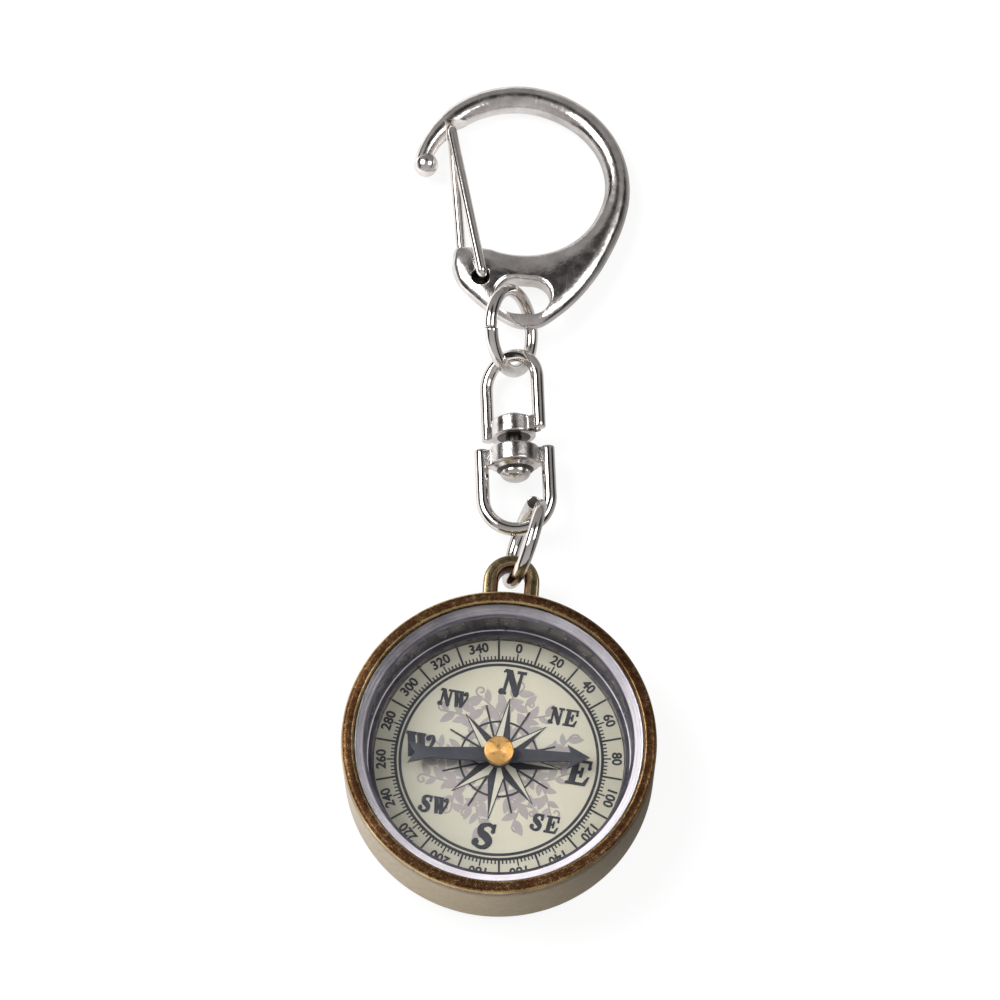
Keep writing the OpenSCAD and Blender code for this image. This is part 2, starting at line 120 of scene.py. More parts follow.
def cut(piece, *cutters):
    for cutter in cutters:
        mod = piece.modifiers.new("cut", "BOOLEAN")
        mod.operation, mod.solver, mod.object, mod.material_mode = "DIFFERENCE", "EXACT", cutter, "TRANSFER"
    bakeModifiers(piece)
    for cutter in cutters:
        bpy.data.objects.remove(cutter)


def joinPieces(name, pieces):
    mesh = bpy.data.meshes.new(name)
    work = bmesh.new()
    slots = []
    for piece in pieces:
        places = {}
        for i, mat in enumerate(piece.data.materials):
            if mat not in slots:
                slots.append(mat)
            places[i] = slots.index(mat)
        before = len(work.faces)
        work.from_mesh(piece.data)
        work.faces.ensure_lookup_table()
        for face in work.faces[before:]:
            face.material_index = places.get(face.material_index, 0)
    work.to_mesh(mesh)
    work.free()
    for mat in slots:
        mesh.materials.append(mat)
    for piece in pieces:
        bpy.data.objects.remove(piece)
    return addObject(name, mesh)


def closeAndTurnOut(piece):
    work = bmesh.new()
    work.from_mesh(piece.data)
    bmesh.ops.remove_doubles(work, verts=work.verts, dist=1e-8)
    bmesh.ops.recalc_face_normals(work, faces=work.faces)
    work.to_mesh(piece.data)
    work.free()
    return piece


def roundCorners(corners, steps=6):
    # corners are (x, y, radius); each one with a radius becomes an arc
    line = []
    for i, (x, y, radius) in enumerate(corners):
        if radius == 0:
            line.append((x, y))
            continue
        here = Vector((x, y))
        back = (Vector(corners[i - 1][:2]) - here).normalized()
        ahead = (Vector(corners[(i + 1) % len(corners)][:2]) - here).normalized()
        half = back.angle(ahead) / 2
        centre = here + (back + ahead).normalized() * radius / math.sin(half)
        start = here + back * radius / math.tan(half) - centre
        end = here + ahead * radius / math.tan(half) - centre
        sweep = math.atan2(start.x * end.y - start.y * end.x, start.dot(end))
        for k in range(steps + 1):
            a = math.atan2(start.y, start.x) + sweep * k / steps
            line.append((centre.x + radius * math.cos(a), centre.y + radius * math.sin(a)))
    return line


def holdFlats(line, reach=0.05, longSide=0.5, shortSide=0.35):
    # extra points beside each rounding keep the long flats flat when shaded
    count = len(line)
    span = [math.dist(line[i], line[(i + 1) % count]) for i in range(count)]
    held = []
    for i, (x, y) in enumerate(line):
        held.append((x, y))
        if span[i] < longSide:
            continue
        nx, ny = line[(i + 1) % count]
        shares = [reach / span[i]] if span[i - 1] < shortSide else []
        shares += [1 - reach / span[i]] if span[(i + 1) % count] < shortSide else []
        held += [(blend(x, nx, t), blend(y, ny, t)) for t in shares]
    return held


def lathe(name, profile, steps=256, place=None):
    # turns a closed (radius, height) outline about the z axis; zero radii make one pole each
    points, rings = [], []
    for r, z in holdFlats(profile):
        if r < 1e-6:
            rings.append([len(points)] * steps)
            points.append((0, 0, z))
        else:
            rings.append(list(range(len(points), len(points) + steps)))
            points += [(*onArc(r, 360 * k / steps), z) for k in range(steps)]
    faces = []
    for i, ring in enumerate(rings):
        after = rings[(i + 1) % len(rings)]
        if ring[0] == ring[1] and after[0] == after[1]:
            continue
        for k in range(steps):
            quad = [ring[k], ring[(k + 1) % steps], after[(k + 1) % steps], after[k]]
            faces.append(list(dict.fromkeys(quad)))
    piece = addPiece(name, points, faces)
    if place is not None:
        piece.data.transform(place)
    return closeAndTurnOut(piece)


def sweepSections(name, sections):
    # closes a row of rings of points into one shell
    sides = len(sections[0])
    points = [p for ring in sections for p in ring]
    faces = [list(range(sides))[::-1], [len(points) - sides + k for k in range(sides)]]
    for i in range(len(sections) - 1):
        for k in range(sides):
            a, b = i * sides + k, i * sides + (k + 1) % sides
            faces.append([a, b, b + sides, a + sides])
    return closeAndTurnOut(addPiece(name, points, faces))


def softPower(value, power):
    return math.copysign(abs(value) ** power, value)


def turnsLeft(line):
    return sum(a[0] * b[1] - a[1] * b[0] for a, b in zip(line, line[1:] + line[:1]))


def flatPlate(name, outlines, top, thick=0.012):
    # joins overlapping flat outlines into one thin closed plate
    points, loops = [], []
    for line in outlines:
        loops.append(list(range(len(points), len(points) + len(line))))
        points += [Vector(p) for p in (line if turnsLeft(line) > 0 else line[::-1])]
    found, _, tris, _, _, owners = geometry.delaunay_2d_cdt(points, [], loops, 0, 1e-5)
    inside = [list(tri) for tri, owner in zip(tris, owners) if owner]
    piece = addPiece(name, [(p.x, p.y, top) for p in found], inside)
    work = bmesh.new()
    work.from_mesh(piece.data)
    bmesh.ops.delete(work, geom=[v for v in work.verts if not v.link_faces], context="VERTS")
    bmesh.ops.recalc_face_normals(work, faces=work.faces)
    if sum(f.normal.z for f in work.faces) < 0:
        bmesh.ops.reverse_faces(work, faces=work.faces)
    grown = bmesh.ops.extrude_face_region(work, geom=work.faces[:])
    raised = {v for v in grown["geom"] if isinstance(v, bmesh.types.BMVert)}
    for v in work.verts:
        if v not in raised:
            v.co.z -= thick * mm
    bmesh.ops.recalc_face_normals(work, faces=work.faces)
    work.to_mesh(piece.data)
    work.free()
    return piece


def arcLine(x, y, r, start, end, steps):
    turns = [onArc(r, start + (end - start) * k / steps) for k in range(steps + 1)]
    return [(x + dx, y + dy) for dx, dy in turns]


def spot(x, y, r):
    return arcLine(x, y, r, 0, 345, 23)


def box2(x0, y0, x1, y1):
    return [(x0, y0), (x1, y0), (x1, y1), (x0, y1)]


depths = dict(hair=0.00001, grain=0.00002, pits=0.00006, waves=0.0002)


class Graph:
    # writes into one node tree; a socket takes a value or a link from an output
    def __init__(self, tree):
        self.tree = tree
        self.family = "GeometryNode" if tree.bl_idname == "GeometryNodeTree" else "ShaderNode"

    def feed(self, node, sockets):
        for key, value in dict(sockets).items():
            if isinstance(value, bpy.types.NodeSocket):
                self.tree.links.new(value, node.inputs[key])
            else:
                node.inputs[key].default_value = value
        return node.outputs

    def add(self, kind, sockets=(), want=0, **settings):
        node = self.tree.nodes.new(kind if "Node" in kind else self.family + kind)
        for key, value in settings.items():
            setattr(node, key, value)
        outputs = self.feed(node, sockets)
        return outputs if want is None else outputs[want]

    def calc(self, operation, *values, clamp=False):
        return self.add("ShaderNodeMath", enumerate(values), operation=operation, use_clamp=clamp)

    def vector(self, *values):
        return self.add("ShaderNodeCombineXYZ", enumerate(values))

    def span(self, value, *limits):
        # limits are from low, from high, to low, to high
        return self.add("MapRange", enumerate((value, *limits)))

    def place(self):
        return self.add("TexCoord", want="Object")

    def noise(self, place, scale, detail, rough):
        return self.add("TexNoise", {"Vector": place, "Scale": scale, "Detail": detail, "Roughness": rough},
                        "Fac")

    def use(self, group, **values):
        return self.add("Group", values, None, node_tree=group)

    def clouds(self, scale, low=0.0, high=1.0):
        return self.use(softClouds, Scale=scale, Low=low, High=high)

    def hairlines(self, scale, width):
        return self.use(hairScratches, Scale=scale, Width=width)["Mask"]

    def attribute(self, name):
        return self.add("Attribute", want="Fac", attribute_name=name)

    def mix(self, fac, low, high):
        low, high = ((*tone, 1) if isinstance(tone, tuple) else tone for tone in (low, high))
        return self.add("Mix", {0: fac, 6: low, 7: high}, 2, data_type="RGBA")

    def bump(self, shader, height, strength, depth, **before):
        sockets = {"Height": height, "Strength": strength, "Distance": depths[depth], **before}
        normal = self.add("Bump", sockets)
        self.feed(shader, {"Normal": normal})
        return normal

    def finish(self, sockets, node="Material Output"):
        self.feed(self.tree.nodes[node], sockets)


def newTree(name, kind, ins, outs):
    # an input comes with its value, or with the word for its kind
    tree = bpy.data.node_groups.new(name, kind)
    for label, value in ins.items():
        word = {float: "Float", int: "Int"}.get(type(value), value)
        socket = tree.interface.new_socket(label, in_out="INPUT", socket_type="NodeSocket" + word)
        if word != value:
            socket.default_value = value
    for label in outs:
        word = "Geometry" if kind == "GeometryNodeTree" else "Float"
        tree.interface.new_socket(label, in_out="OUTPUT", socket_type="NodeSocket" + word)
    return Graph(tree), tree.nodes.new("NodeGroupInput").outputs, tree.nodes.new("NodeGroupOutput")


def buildSpeckle():
    # patches with ragged borders: 1 where a finish has worn through
    g, ins, out = newTree("speckleWear", "ShaderNodeTree", {"Edge": 0.5, "Fine": 3000.0, "Broad": 400.0,
                                                            "Sharpness": 5.0},
                          ("Mask", "Height"))
    place = g.place()
    broad = g.calc("MULTIPLY", g.noise(place, ins["Broad"], 4.0, 0.6), 0.4)
    mixed = g.calc("MULTIPLY_ADD", g.noise(place, ins["Fine"], 3.0, 0.6), 0.6, broad)
    raised = g.calc("SUBTRACT", g.calc("ADD", mixed, ins["Edge"]), 1.0)
    g.feed(out, {"Mask": g.calc("MULTIPLY_ADD", raised, ins["Sharpness"], 0.5, clamp=True), "Height": mixed})
    return g.tree


def buildClouds():
    # soft clouds between two values, for roughness and tone
    g, ins, out = newTree("softClouds", "ShaderNodeTree", {"Scale": 800.0, "Low": 0.2, "High": 0.4}, ("Value",
            "Height"))
    noise = g.noise(g.place(), ins["Scale"], 4.0, 0.55)
    g.feed(out, {"Value": g.span(noise, 0.3, 0.7, ins["Low"], ins["High"]), "Height": noise})
    return g.tree


def buildScratches():
    # thin hairlines in two directions
    g, ins, out = newTree("hairScratches", "ShaderNodeTree", {"Scale": 400.0, "Width": 0.03}, ("Mask",))
    width = g.calc("MULTIPLY", ins["Width"], 0.2)
    lines = []
    for turn, stretch in (((0.3, 0.2, 0.5), (1.0, 0.06, 1.0)), ((0.9, 0.4, 2.1), (1.0, 0.05, 1.0))):
        mapping = g.add("Mapping", {"Vector": g.place(), "Rotation": turn, "Scale": stretch})
        away = g.calc("SUBTRACT", g.noise(mapping, ins["Scale"], 2.0, 0.5), 0.5)
        lines.append(g.calc("LESS_THAN", g.calc("ABSOLUTE", away), width))
    g.feed(out, {"Mask": g.calc("MAXIMUM", *lines)})
    return g.tree


speckleWear, softClouds, hairScratches = buildSpeckle(), buildClouds(), buildScratches()


def newMaterial(name, **sockets):
    mat = bpy.data.materials.new(name)
    mat.use_nodes = True
    g = Graph(mat.node_tree)
    shader = mat.node_tree.nodes["Principled BSDF"]
    g.feed(shader, {key.replace("_", " "): value for key, value in sockets.items()})
    return mat, g, shader


def linear(r, g, b):
    return tuple(((c / 255) / 12.92 if c <= 10 else ((c / 255 + 0.055) / 1.055) ** 2.4) for c in (r, g, b))


def scaled(tone, by):
    return tuple(c * by for c in tone)


brassLook = dict(dark=linear(60, 36, 23), brown=linear(100, 66, 42), brass=linear(134, 102, 62),
                 gold=linear(232, 202, 146), satin=linear(169, 151, 117), satinSpread=0.93, fine=7000.0,
                 broad=1900.0, sharpness=5.0, tone=160.0, patch=1500.0, gloss=(0.3, 0.42), polish=0.12,
                 pitting=0.4)


def antiqueBrassFinish(look):
    mat, g, shader = newMaterial("antiqueBrass", Metallic=1.0)
    wear, satin = g.attribute("wear"), g.attribute("satin")
    worn = g.use(speckleWear, Edge=wear, Fine=look["fine"], Broad=look["broad"], Sharpness=look["sharpness"])
    tone = g.clouds(look["tone"])["Value"]
    patina = g.mix(tone, look["dark"], look["brown"])
    bright = g.mix(tone, look["brass"], look["gold"])
    plain = g.mix(tone, look["satin"], scaled(look["satin"], look["satinSpread"]))
    polish = g.calc("MULTIPLY", g.calc("GREATER_THAN", wear, 0.5), look["polish"])
    gloss = g.clouds(look["patch"], *look["gloss"])["Value"]
    g.feed(shader, {"Base Color": g.mix(satin, g.mix(worn["Mask"], patina, bright), plain),
                    "Roughness": g.calc("SUBTRACT", gloss, polish)})
    g.bump(shader, g.calc("MULTIPLY", worn["Height"], g.calc("SUBTRACT", 1.0, satin)), look["pitting"], "pits")
    return mat


def cloudedFinish(name, low, high, tone, patch, gloss, **sockets):
    # two tones in soft clouds under a roughness that wanders
    mat, g, shader = newMaterial(name, **sockets)
    spread = g.clouds(tone)
    g.feed(shader, {"Base Color": g.mix(spread["Value"], low, high),
                    "Roughness": g.clouds(patch, *gloss)["Value"]})
    return mat, g, shader, spread["Height"]


def nickelFinish(name, look):
    keys = ("dull", "bright", "tone", "patch", "gloss")
    mat, g, shader, _ = cloudedFinish(name, *(look[key] for key in keys), Metallic=1.0)
    lines = g.hairlines(look["scratch"], look["line"])
    gloss = shader.inputs["Roughness"].links[0].from_socket
    g.feed(shader, {"Roughness": g.calc("MULTIPLY_ADD", lines, look["lineRough"], gloss, clamp=True)})
    first = g.bump(shader, g.clouds(look["wave"])["Height"], look["waveDepth"], "waves")
    g.bump(shader, lines, look["lineDepth"], "hair", Normal=first)
    return mat


def inkFinish(name, tone, spread, rough=0.6):
    gloss = (rough - 0.1, rough + 0.1)
    mat, g, shader, height = cloudedFinish(name, tone, scaled(tone, spread), 1800.0, 2600.0, gloss)
    g.bump(shader, height, 0.15, "grain")
    return mat


def metalFinish(name, tone, rough):
    return cloudedFinish(name, tone, scaled(tone, 0.8), 1500.0, 2000.0, (rough, rough + 0.15), Metallic=1.0)[0]


wireLook = dict(dull=linear(218, 211, 205), bright=linear(240, 236, 232), tone=500.0, patch=700.0,
                gloss=(0.05, 0.13), scratch=900.0, line=0.008, lineRough=0.06, lineDepth=0.05, wave=300.0,
                waveDepth=0.08)
castLook = dict(wireLook, dull=linear(196, 190, 186), bright=linear(240, 235, 232), tone=420.0, patch=600.0,
                gloss=(0.13, 0.27), scratch=500.0, line=0.005, wave=240.0, waveDepth=0.75)
collarLook = dict(castLook, tone=700.0, wave=500.0, waveDepth=0.35, gloss=(0.15, 0.28))
# painted shade: a dark, dull nickel put on hole walls, necks and cut ends where shade falls
recessShadeLook = dict(castLook, dull=linear(66, 62, 58), bright=linear(112, 106, 100), gloss=(0.3, 0.5))
antiqueBrass = antiqueBrassFinish(brassLook)
nickelWire, nickelCast = nickelFinish("nickelWire", wireLook), nickelFinish("nickelCast", castLook)
nickelCollar, darkRecess = nickelFinish("nickelCollar", collarLook), nickelFinish("darkRecess", recessShadeLook)
blackInk = inkFinish("blackInk", linear(38, 39, 46), 1.4)
roseCream = inkFinish("roseCream", linear(196, 192, 175), 0.93)
foliageInk = inkFinish("foliageInk", linear(150, 144, 142), 1.1)
padFoam = inkFinish("padFoam", linear(206, 203, 194), 0.9, 0.8)
pivotSteel = metalFinish("pivotSteel", linear(200, 203, 208), 0.15)
bearingBrass = metalFinish("bearingBrass", linear(224, 190, 120), 0.25)


paperLook = dict(cream=linear(189, 187, 171), warm=linear(197, 192, 171), stain=140.0, patch=1200.0,
                 gloss=(0.5, 0.7), fibreTone=linear(180, 178, 165), fibre=4000.0, fibreShare=0.35, fibreDepth=0.2,
                 shadeToward=(-0.9, -0.44, 0.0), shadeFrom=0.004, shadeFull=0.015, paintedShade=0.55,
                 shadeTone=linear(140, 137, 124))


def paperFinish(look):
    mat, g, shader = newMaterial("dialPaper", Specular_IOR_Level=0.3)
    fibres = g.clouds(look["fibre"])
    base = g.mix(g.clouds(look["stain"])["Value"], look["cream"], look["warm"])
    speck = g.calc("MULTIPLY", fibres["Value"], look["fibreShare"])
    lean = g.add("ShaderNodeVectorMath", {0: g.place(), 1: look["shadeToward"]}, "Value", operation="DOT_PRODUCT")
    paintedShade = g.span(lean, look["shadeFrom"], look["shadeFull"], 0.0, look["paintedShade"])  # painted shade: darker towards one edge
    toned = g.mix(speck, base, look["fibreTone"])
    g.feed(shader, {"Base Color": g.mix(paintedShade, toned, look["shadeTone"]),
                    "Roughness": g.clouds(look["patch"], *look["gloss"])["Value"]})
    g.bump(shader, fibres["Height"], look["fibreDepth"], "grain")
    return mat


dialPaper = paperFinish(paperLook)


def needleFinish(tone):
    mat, g, shader, _ = cloudedFinish("needleEnamel", tone, scaled(tone, 1.5), 900.0, 1600.0, (0.4, 0.6),
                                      Coat_Weight=0.25, Coat_Roughness=0.2)
    g.bump(shader, g.hairlines(600.0, 0.03), 0.2, "hair")
    return mat


needleEnamel = needleFinish(linear(41, 42, 51))


def turnedBrassFinish(low, high, rings):
    # fine rings left by the lathe on the cap
    mat, g, shader, _ = cloudedFinish("turnedBrass", low, high, 1400.0, 2200.0, (0.25, 0.4), Metallic=1.0)
    sockets = {"Vector": g.place(), "Scale": rings, "Distortion": 0.6, "Detail": 2.0}
    wave = g.add("TexWave", sockets, "Fac", wave_type="RINGS", rings_direction="Z")
    g.bump(shader, wave, 0.35, "grain")
    return mat


turnedBrass = turnedBrassFinish(linear(214, 156, 82), linear(236, 192, 124), 2600.0)


def plasticFinish(name, low, high, patch, gloss, bump, clear=0.0):
    mat, g, shader, _ = cloudedFinish(name, low, high, patch, 700.0, gloss, Transmission_Weight=clear, IOR=1.49)
    g.bump(shader, g.hairlines(260.0, 0.02), bump, "hair")
    if clear > 0.5:  # the lamps shine through to what lies under it
        shadow, through = g.add("LightPath", want="Is Shadow Ray"), g.add("BsdfTransparent")
        g.finish({"Surface": g.add("MixShader", {0: shadow, 1: shader.outputs[0], 2: through})})
    return mat


clearLens = plasticFinish("clearLens", (1, 1, 1), (0.985, 0.985, 0.99), 300.0, (0.0, 0.02), 0.05, 1.0)
# painted highlight: pale plastic for the bright line at the skirt's foot
frostedLip = plasticFinish("frostedLip", linear(196, 192, 200), linear(228, 223, 229), 260.0, (0.1, 0.25), 0.2)
smokeWall = plasticFinish("smokeWall", linear(58, 56, 62), linear(84, 81, 88), 300.0, (0.1, 0.3), 0.2)


def frostedFinish(shadedTone, litTone):
    # moulded frosted plastic, lighter towards one side round the rim: painted light and shade, with a little
    # random tone
    mat, g, shader = newMaterial("frostedEdge", Coat_Weight=0.4, Coat_Roughness=0.1)
    rimLightShare = g.calc("ADD", g.attribute("haze"), g.clouds(220.0, -0.12, 0.12)["Value"], clamp=True)
    g.feed(shader, {"Base Color": g.mix(rimLightShare, shadedTone, litTone), "Roughness": g.clouds(700.0, 0.15, 0.3)["Value"]})
    g.bump(shader, g.hairlines(260.0, 0.02), 0.2, "hair")
    return mat


frostedEdge = frostedFinish(linear(92, 89, 95), linear(231, 225, 232))
print("finishes made")


caseShape = dict(radius=17.5, bore=16.1, height=10.7, floor=1.2, outerRound=0.6, innerRound=0.32, floorRound=0.3,
                 rowHigh=1.2, lugHalf=3.2, lugCentre=20.2, holeHalf=1.5, holeCentre=20.5, lugFoot=16.9,
                 lugHeight=5.0, lugHalfThick=1.3, squareness=0.3, lugSides=28, lugTurns=48,
                 wear=dict(darkTo=1.7, darkFade=0.7, lug=(0.14, 0.44), lugSatin=0.8, inside=0.2, insideTo=0.5,
                           rim=(0.38, 0.3), innerEdge=(0.1, 0.1), outerEdge=(0.32, 0.2), edgeReach=0.3,
                           satinFrom=0.65, satinFade=0.3, footHigh=0.3, footSatin=0.6))


def setWear(piece, rule):
    # stores how far the finish has worn and where it is plain satin, from a rule on the place
    wear, satin = (piece.data.attributes.new(label, "FLOAT", "POINT") for label in ("wear", "satin"))
    for i, vertex in enumerate(piece.data.vertices):
        wear.data[i].value, satin.data[i].value = rule(vertex.co / mm)


def makeCase(s):
    radius, bore, height, floor, look = s["radius"], s["bore"], s["height"], s["floor"], s["wear"]
    outline = roundCorners([(0, 0, 0), (radius, 0, s["outerRound"]), (radius, height, s["outerRound"]),
                            (bore, height, s["innerRound"]), (bore, floor, s["floorRound"]),
                            (0, floor, 0)], steps=8)
    fine = []
    for i, (a, b) in enumerate(zip(outline, outline[1:] + outline[:1])):
        rows = max(1, int(math.dist(a, b) / s["rowHigh"])) if i < len(outline) - 1 else 1
        fine += [(blend(a[0], b[0], k / rows), blend(a[1], b[1], k / rows)) for k in range(rows)]
    shell = lathe("caseShell", fine, 288)
    path = []
    for k in range(7):
        inner, outer = blend(s["lugFoot"], s["holeCentre"], k / 6), blend(s["lugFoot"], s["lugCentre"], k / 6)
        path.append(((s["holeHalf"], inner), (s["lugHalf"], outer)))
    for k in range(1, s["lugTurns"]):
        inner, outer = (onArc(r, 180 * k / s["lugTurns"]) for r in (s["holeHalf"], s["lugHalf"]))
        path.append(((inner[0], s["holeCentre"] + inner[1]), (outer[0], s["lugCentre"] + outer[1])))
    path += [((-i[0], i[1]), (-o[0], o[1])) for i, o in reversed(path[:7])]
    sections = []
    for inner, outer in path:
        ring = []
        for j in range(s["lugSides"]):
            u, w = (softPower(c, s["squareness"]) for c in onArc(1, 360 * j / s["lugSides"]))
            t = 0.5 + 0.5 * u
            ring.append((blend(inner[0], outer[0], t), blend(inner[1], outer[1], t),
                         s["lugHeight"] + s["lugHalfThick"] * w))
        sections.append(ring)
    lug = sweepSections("lugBar", sections)

    def wearRule(p):
        r = math.hypot(p.x, p.y)
        if r > radius + 0.15:  # the lug is dark round its hole
            out = math.hypot(p.x, max(0.0, p.y - s["lugCentre"]))
            edge = min(1, max(0, (out - look["darkTo"]) / look["darkFade"]))
            return look["lug"][0] + look["lug"][1] * edge, look["lugSatin"] * edge
        if r < bore - 0.05 and p.z < height - look["insideTo"]:
            return look["inside"], 0.0
        inner = math.exp(-((r - (bore + look["innerEdge"][0])) / look["innerEdge"][1]) ** 2)
        outer = 0.0
        if r > radius - look["edgeReach"]:
            outer = math.exp(-((p.z - (height - look["outerEdge"][0])) / look["outerEdge"][1]) ** 2)
        plain = look["footSatin"]
        if p.z >= look["footHigh"]:
            plain = min(1, max(0, (height - look["satinFrom"] - p.z) / look["satinFade"]))
        return look["rim"][0] + look["rim"][1] * max(outer, inner), plain

    case = joinPieces("compassCase", [shell, lug])
    setWear(case, wearRule)
    smooth(paint(case, antiqueBrass), 50)
    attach(case, "case_body")
    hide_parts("case")


makeCase(caseShape)
print("case made")


capsuleShape = dict(outer=16.0, wall=0.6, well=14.1, bore=0.6, cupFoot=1.6, card=2.7, ledge=4.6, lensFoot=9.2,
                    lensTop=10.2, lensThick=0.5, skirt=0.6, fit=0.05, tabs=(91, 211, 331), tabHalf=0.13, highlightLine=0.13,
                    rimIn=0.32, rimLightAt=-56, haze=(0.5, 0.42))


def makeCapsule(s):
    seat, ledge, outer, card, foot = s["lensFoot"], s["ledge"], s["outer"], s["card"], s["cupFoot"]
    inner = outer - s["wall"]
    outline = [(s["bore"], foot, 0), (outer, foot, 0.25), (outer, seat, 0), (inner, seat, 0),
               (inner, ledge, 0.06), (s["well"], ledge, 0.14), (s["well"], card, 0), (s["bore"], card, 0)]
    cup = lathe("capsuleShell", roundCorners(outline, steps=5))
    smooth(paint(cup, smokeWall), 40)
    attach(cup, "case_body")
    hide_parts("capsule_cup")
    skirtOut, edge = inner - s["fit"], outer - 0.02
    skirtIn = skirtOut - s["skirt"]
    top, disc = s["lensTop"], s["lensTop"] - s["lensThick"]
    outline = [(0, disc, 0), (edge, disc, 0), (edge, top, 0.1), (0, top, 0)]
    lens = lathe("lensDisc", roundCorners(outline, steps=4))
    foot = skirtIn + s["rimIn"]
    moulding = [(foot, seat - 0.1, 0), (foot + 0.05, seat + 0.04, 0.03), (foot + 0.26, seat + 0.18, 0.03),
                (foot + 0.29, seat + 0.12, 0.02), (foot + 0.34, seat + 0.2, 0.02),
                (outer - 0.28, disc - 0.1, 0.03), (outer - 0.24, disc - 0.16, 0.02),
                (outer - 0.18, disc - 0.06, 0.02), (edge, disc - 0.02, 0.01), (edge, seat, 0),
                (skirtOut, seat, 0), (skirtOut, seat - 0.1, 0)]
    rim = lathe("lensRim", roundCorners(moulding, steps=3))
    # painted light: lighter towards one bearing round the rim, darker opposite
    haze = rim.data.attributes.new("haze", "FLOAT", "POINT")
    for i, vertex in enumerate(rim.data.vertices):
        away = math.atan2(vertex.co.y, vertex.co.x) - math.radians(s["rimLightAt"])
        haze.data[i].value = s["haze"][0] + s["haze"][1] * math.cos(away)
    top, foot = seat - 0.12, ledge + 0.1
    outline = [(skirtIn, foot, 0.03), (skirtOut, foot, 0), (skirtOut, top, 0), (skirtIn, top, 0)]
    skirt = lathe("lensSkirt", roundCorners(outline, steps=4))
    highlightLine = lathe("skirtLip", spot(skirtIn + 0.04, ledge + 0.13, s["highlightLine"]))  # a pale bead painted as the highlight line at the skirt's foot
    parts = [paint(lens, clearLens), paint(rim, frostedEdge), paint(skirt, smokeWall), paint(highlightLine, frostedLip)]
    for k, bearing in enumerate(s["tabs"]):
        rib = box2(skirtIn - 0.07, ledge + 0.2, skirtIn + 0.1, seat)
        half = s["tabHalf"]
        tab = sweepSections("mouldTab%d" % k, [[(r, w, z) for r, z in rib] for w in (-half, half)])
        tab.data.transform(spin(bearing))
        parts.append(paint(tab, smokeWall))
    cover = smooth(joinPieces("lensCover", parts), 40)
    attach(cover, "case_body")
    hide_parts("lens_cover")


makeCapsule(capsuleShape)
for nodeName, finish in (("dial_card", dialPaper), ("pivot_pin", pivotSteel), ("bearing_cup", bearingBrass),
                         ("adhesive_pad", padFoam)):
    paint(nodes[nodeName], finish)
print("capsule made")


def closeTree(g, shape, finish, out):
    real = g.add("RealizeInstances", {0: shape})
    g.feed(out, {0: g.add("SetMaterial", {"Geometry": real, "Material": finish})})
    return g.tree


def runTree(piece, tree, values):
    mod = piece.modifiers.new(tree.name, "NODES")
    mod.node_group = tree
    for item in tree.interface.items_tree:
        if item.in_out == "INPUT" and item.name in values:
            mod[item.identifier] = values[item.name]
    return bakeModifiers(piece)


def buildTicks():
    # short and long bars round a circle
    g, ins, out = newTree("dialTicks", "GeometryNodeTree", {
        "Geometry": "Geometry", "Count": 180, "Start Radius": 0.0117, "Short": 0.00045, "Long": 0.0009,
        "Long Every": 10, "Width": 0.00013, "Turn": 0.0, "Foot": 0.0031, "Thick": 0.00002,
        "Finish": "Material"}, ("Geometry",))
    index = g.add("InputIndex")
    step = g.calc("DIVIDE", 2 * math.pi, ins["Count"])
    angle = g.calc("MULTIPLY_ADD", index, step, ins["Turn"])
    isLong = g.calc("LESS_THAN", g.calc("MODULO", index, ins["Long Every"]), 0.5)
    extra = g.calc("SUBTRACT", ins["Long"], ins["Short"])
    length = g.calc("MULTIPLY_ADD", isLong, extra, ins["Short"])
    middle = g.calc("MULTIPLY_ADD", length, 0.5, ins["Start Radius"])
    x, y = (g.calc("MULTIPLY", middle, g.calc(turn, angle)) for turn in ("COSINE", "SINE"))
    dots = g.add("Points", {"Count": ins["Count"], "Position": g.vector(x, y, ins["Foot"])})
    bar = g.add("MeshCube", {"Size": (1, 1, 1)}, want="Mesh")
    sockets = {"Points": dots, "Instance": bar, "Rotation": g.vector(0, 0, angle),
               "Scale": g.vector(length, ins["Width"], ins["Thick"])}
    return closeTree(g, g.add("InstanceOnPoints", sockets), ins["Finish"], out)


def tubeAlong(g, shape, sides, radius):
    line = g.add("MeshToCurve", {0: shape})
    circle = g.add("CurvePrimitiveCircle", {"Resolution": sides, "Radius": radius})
    return line, g.add("CurveToMesh", {"Curve": line, "Profile Curve": circle, "Fill Caps": True})


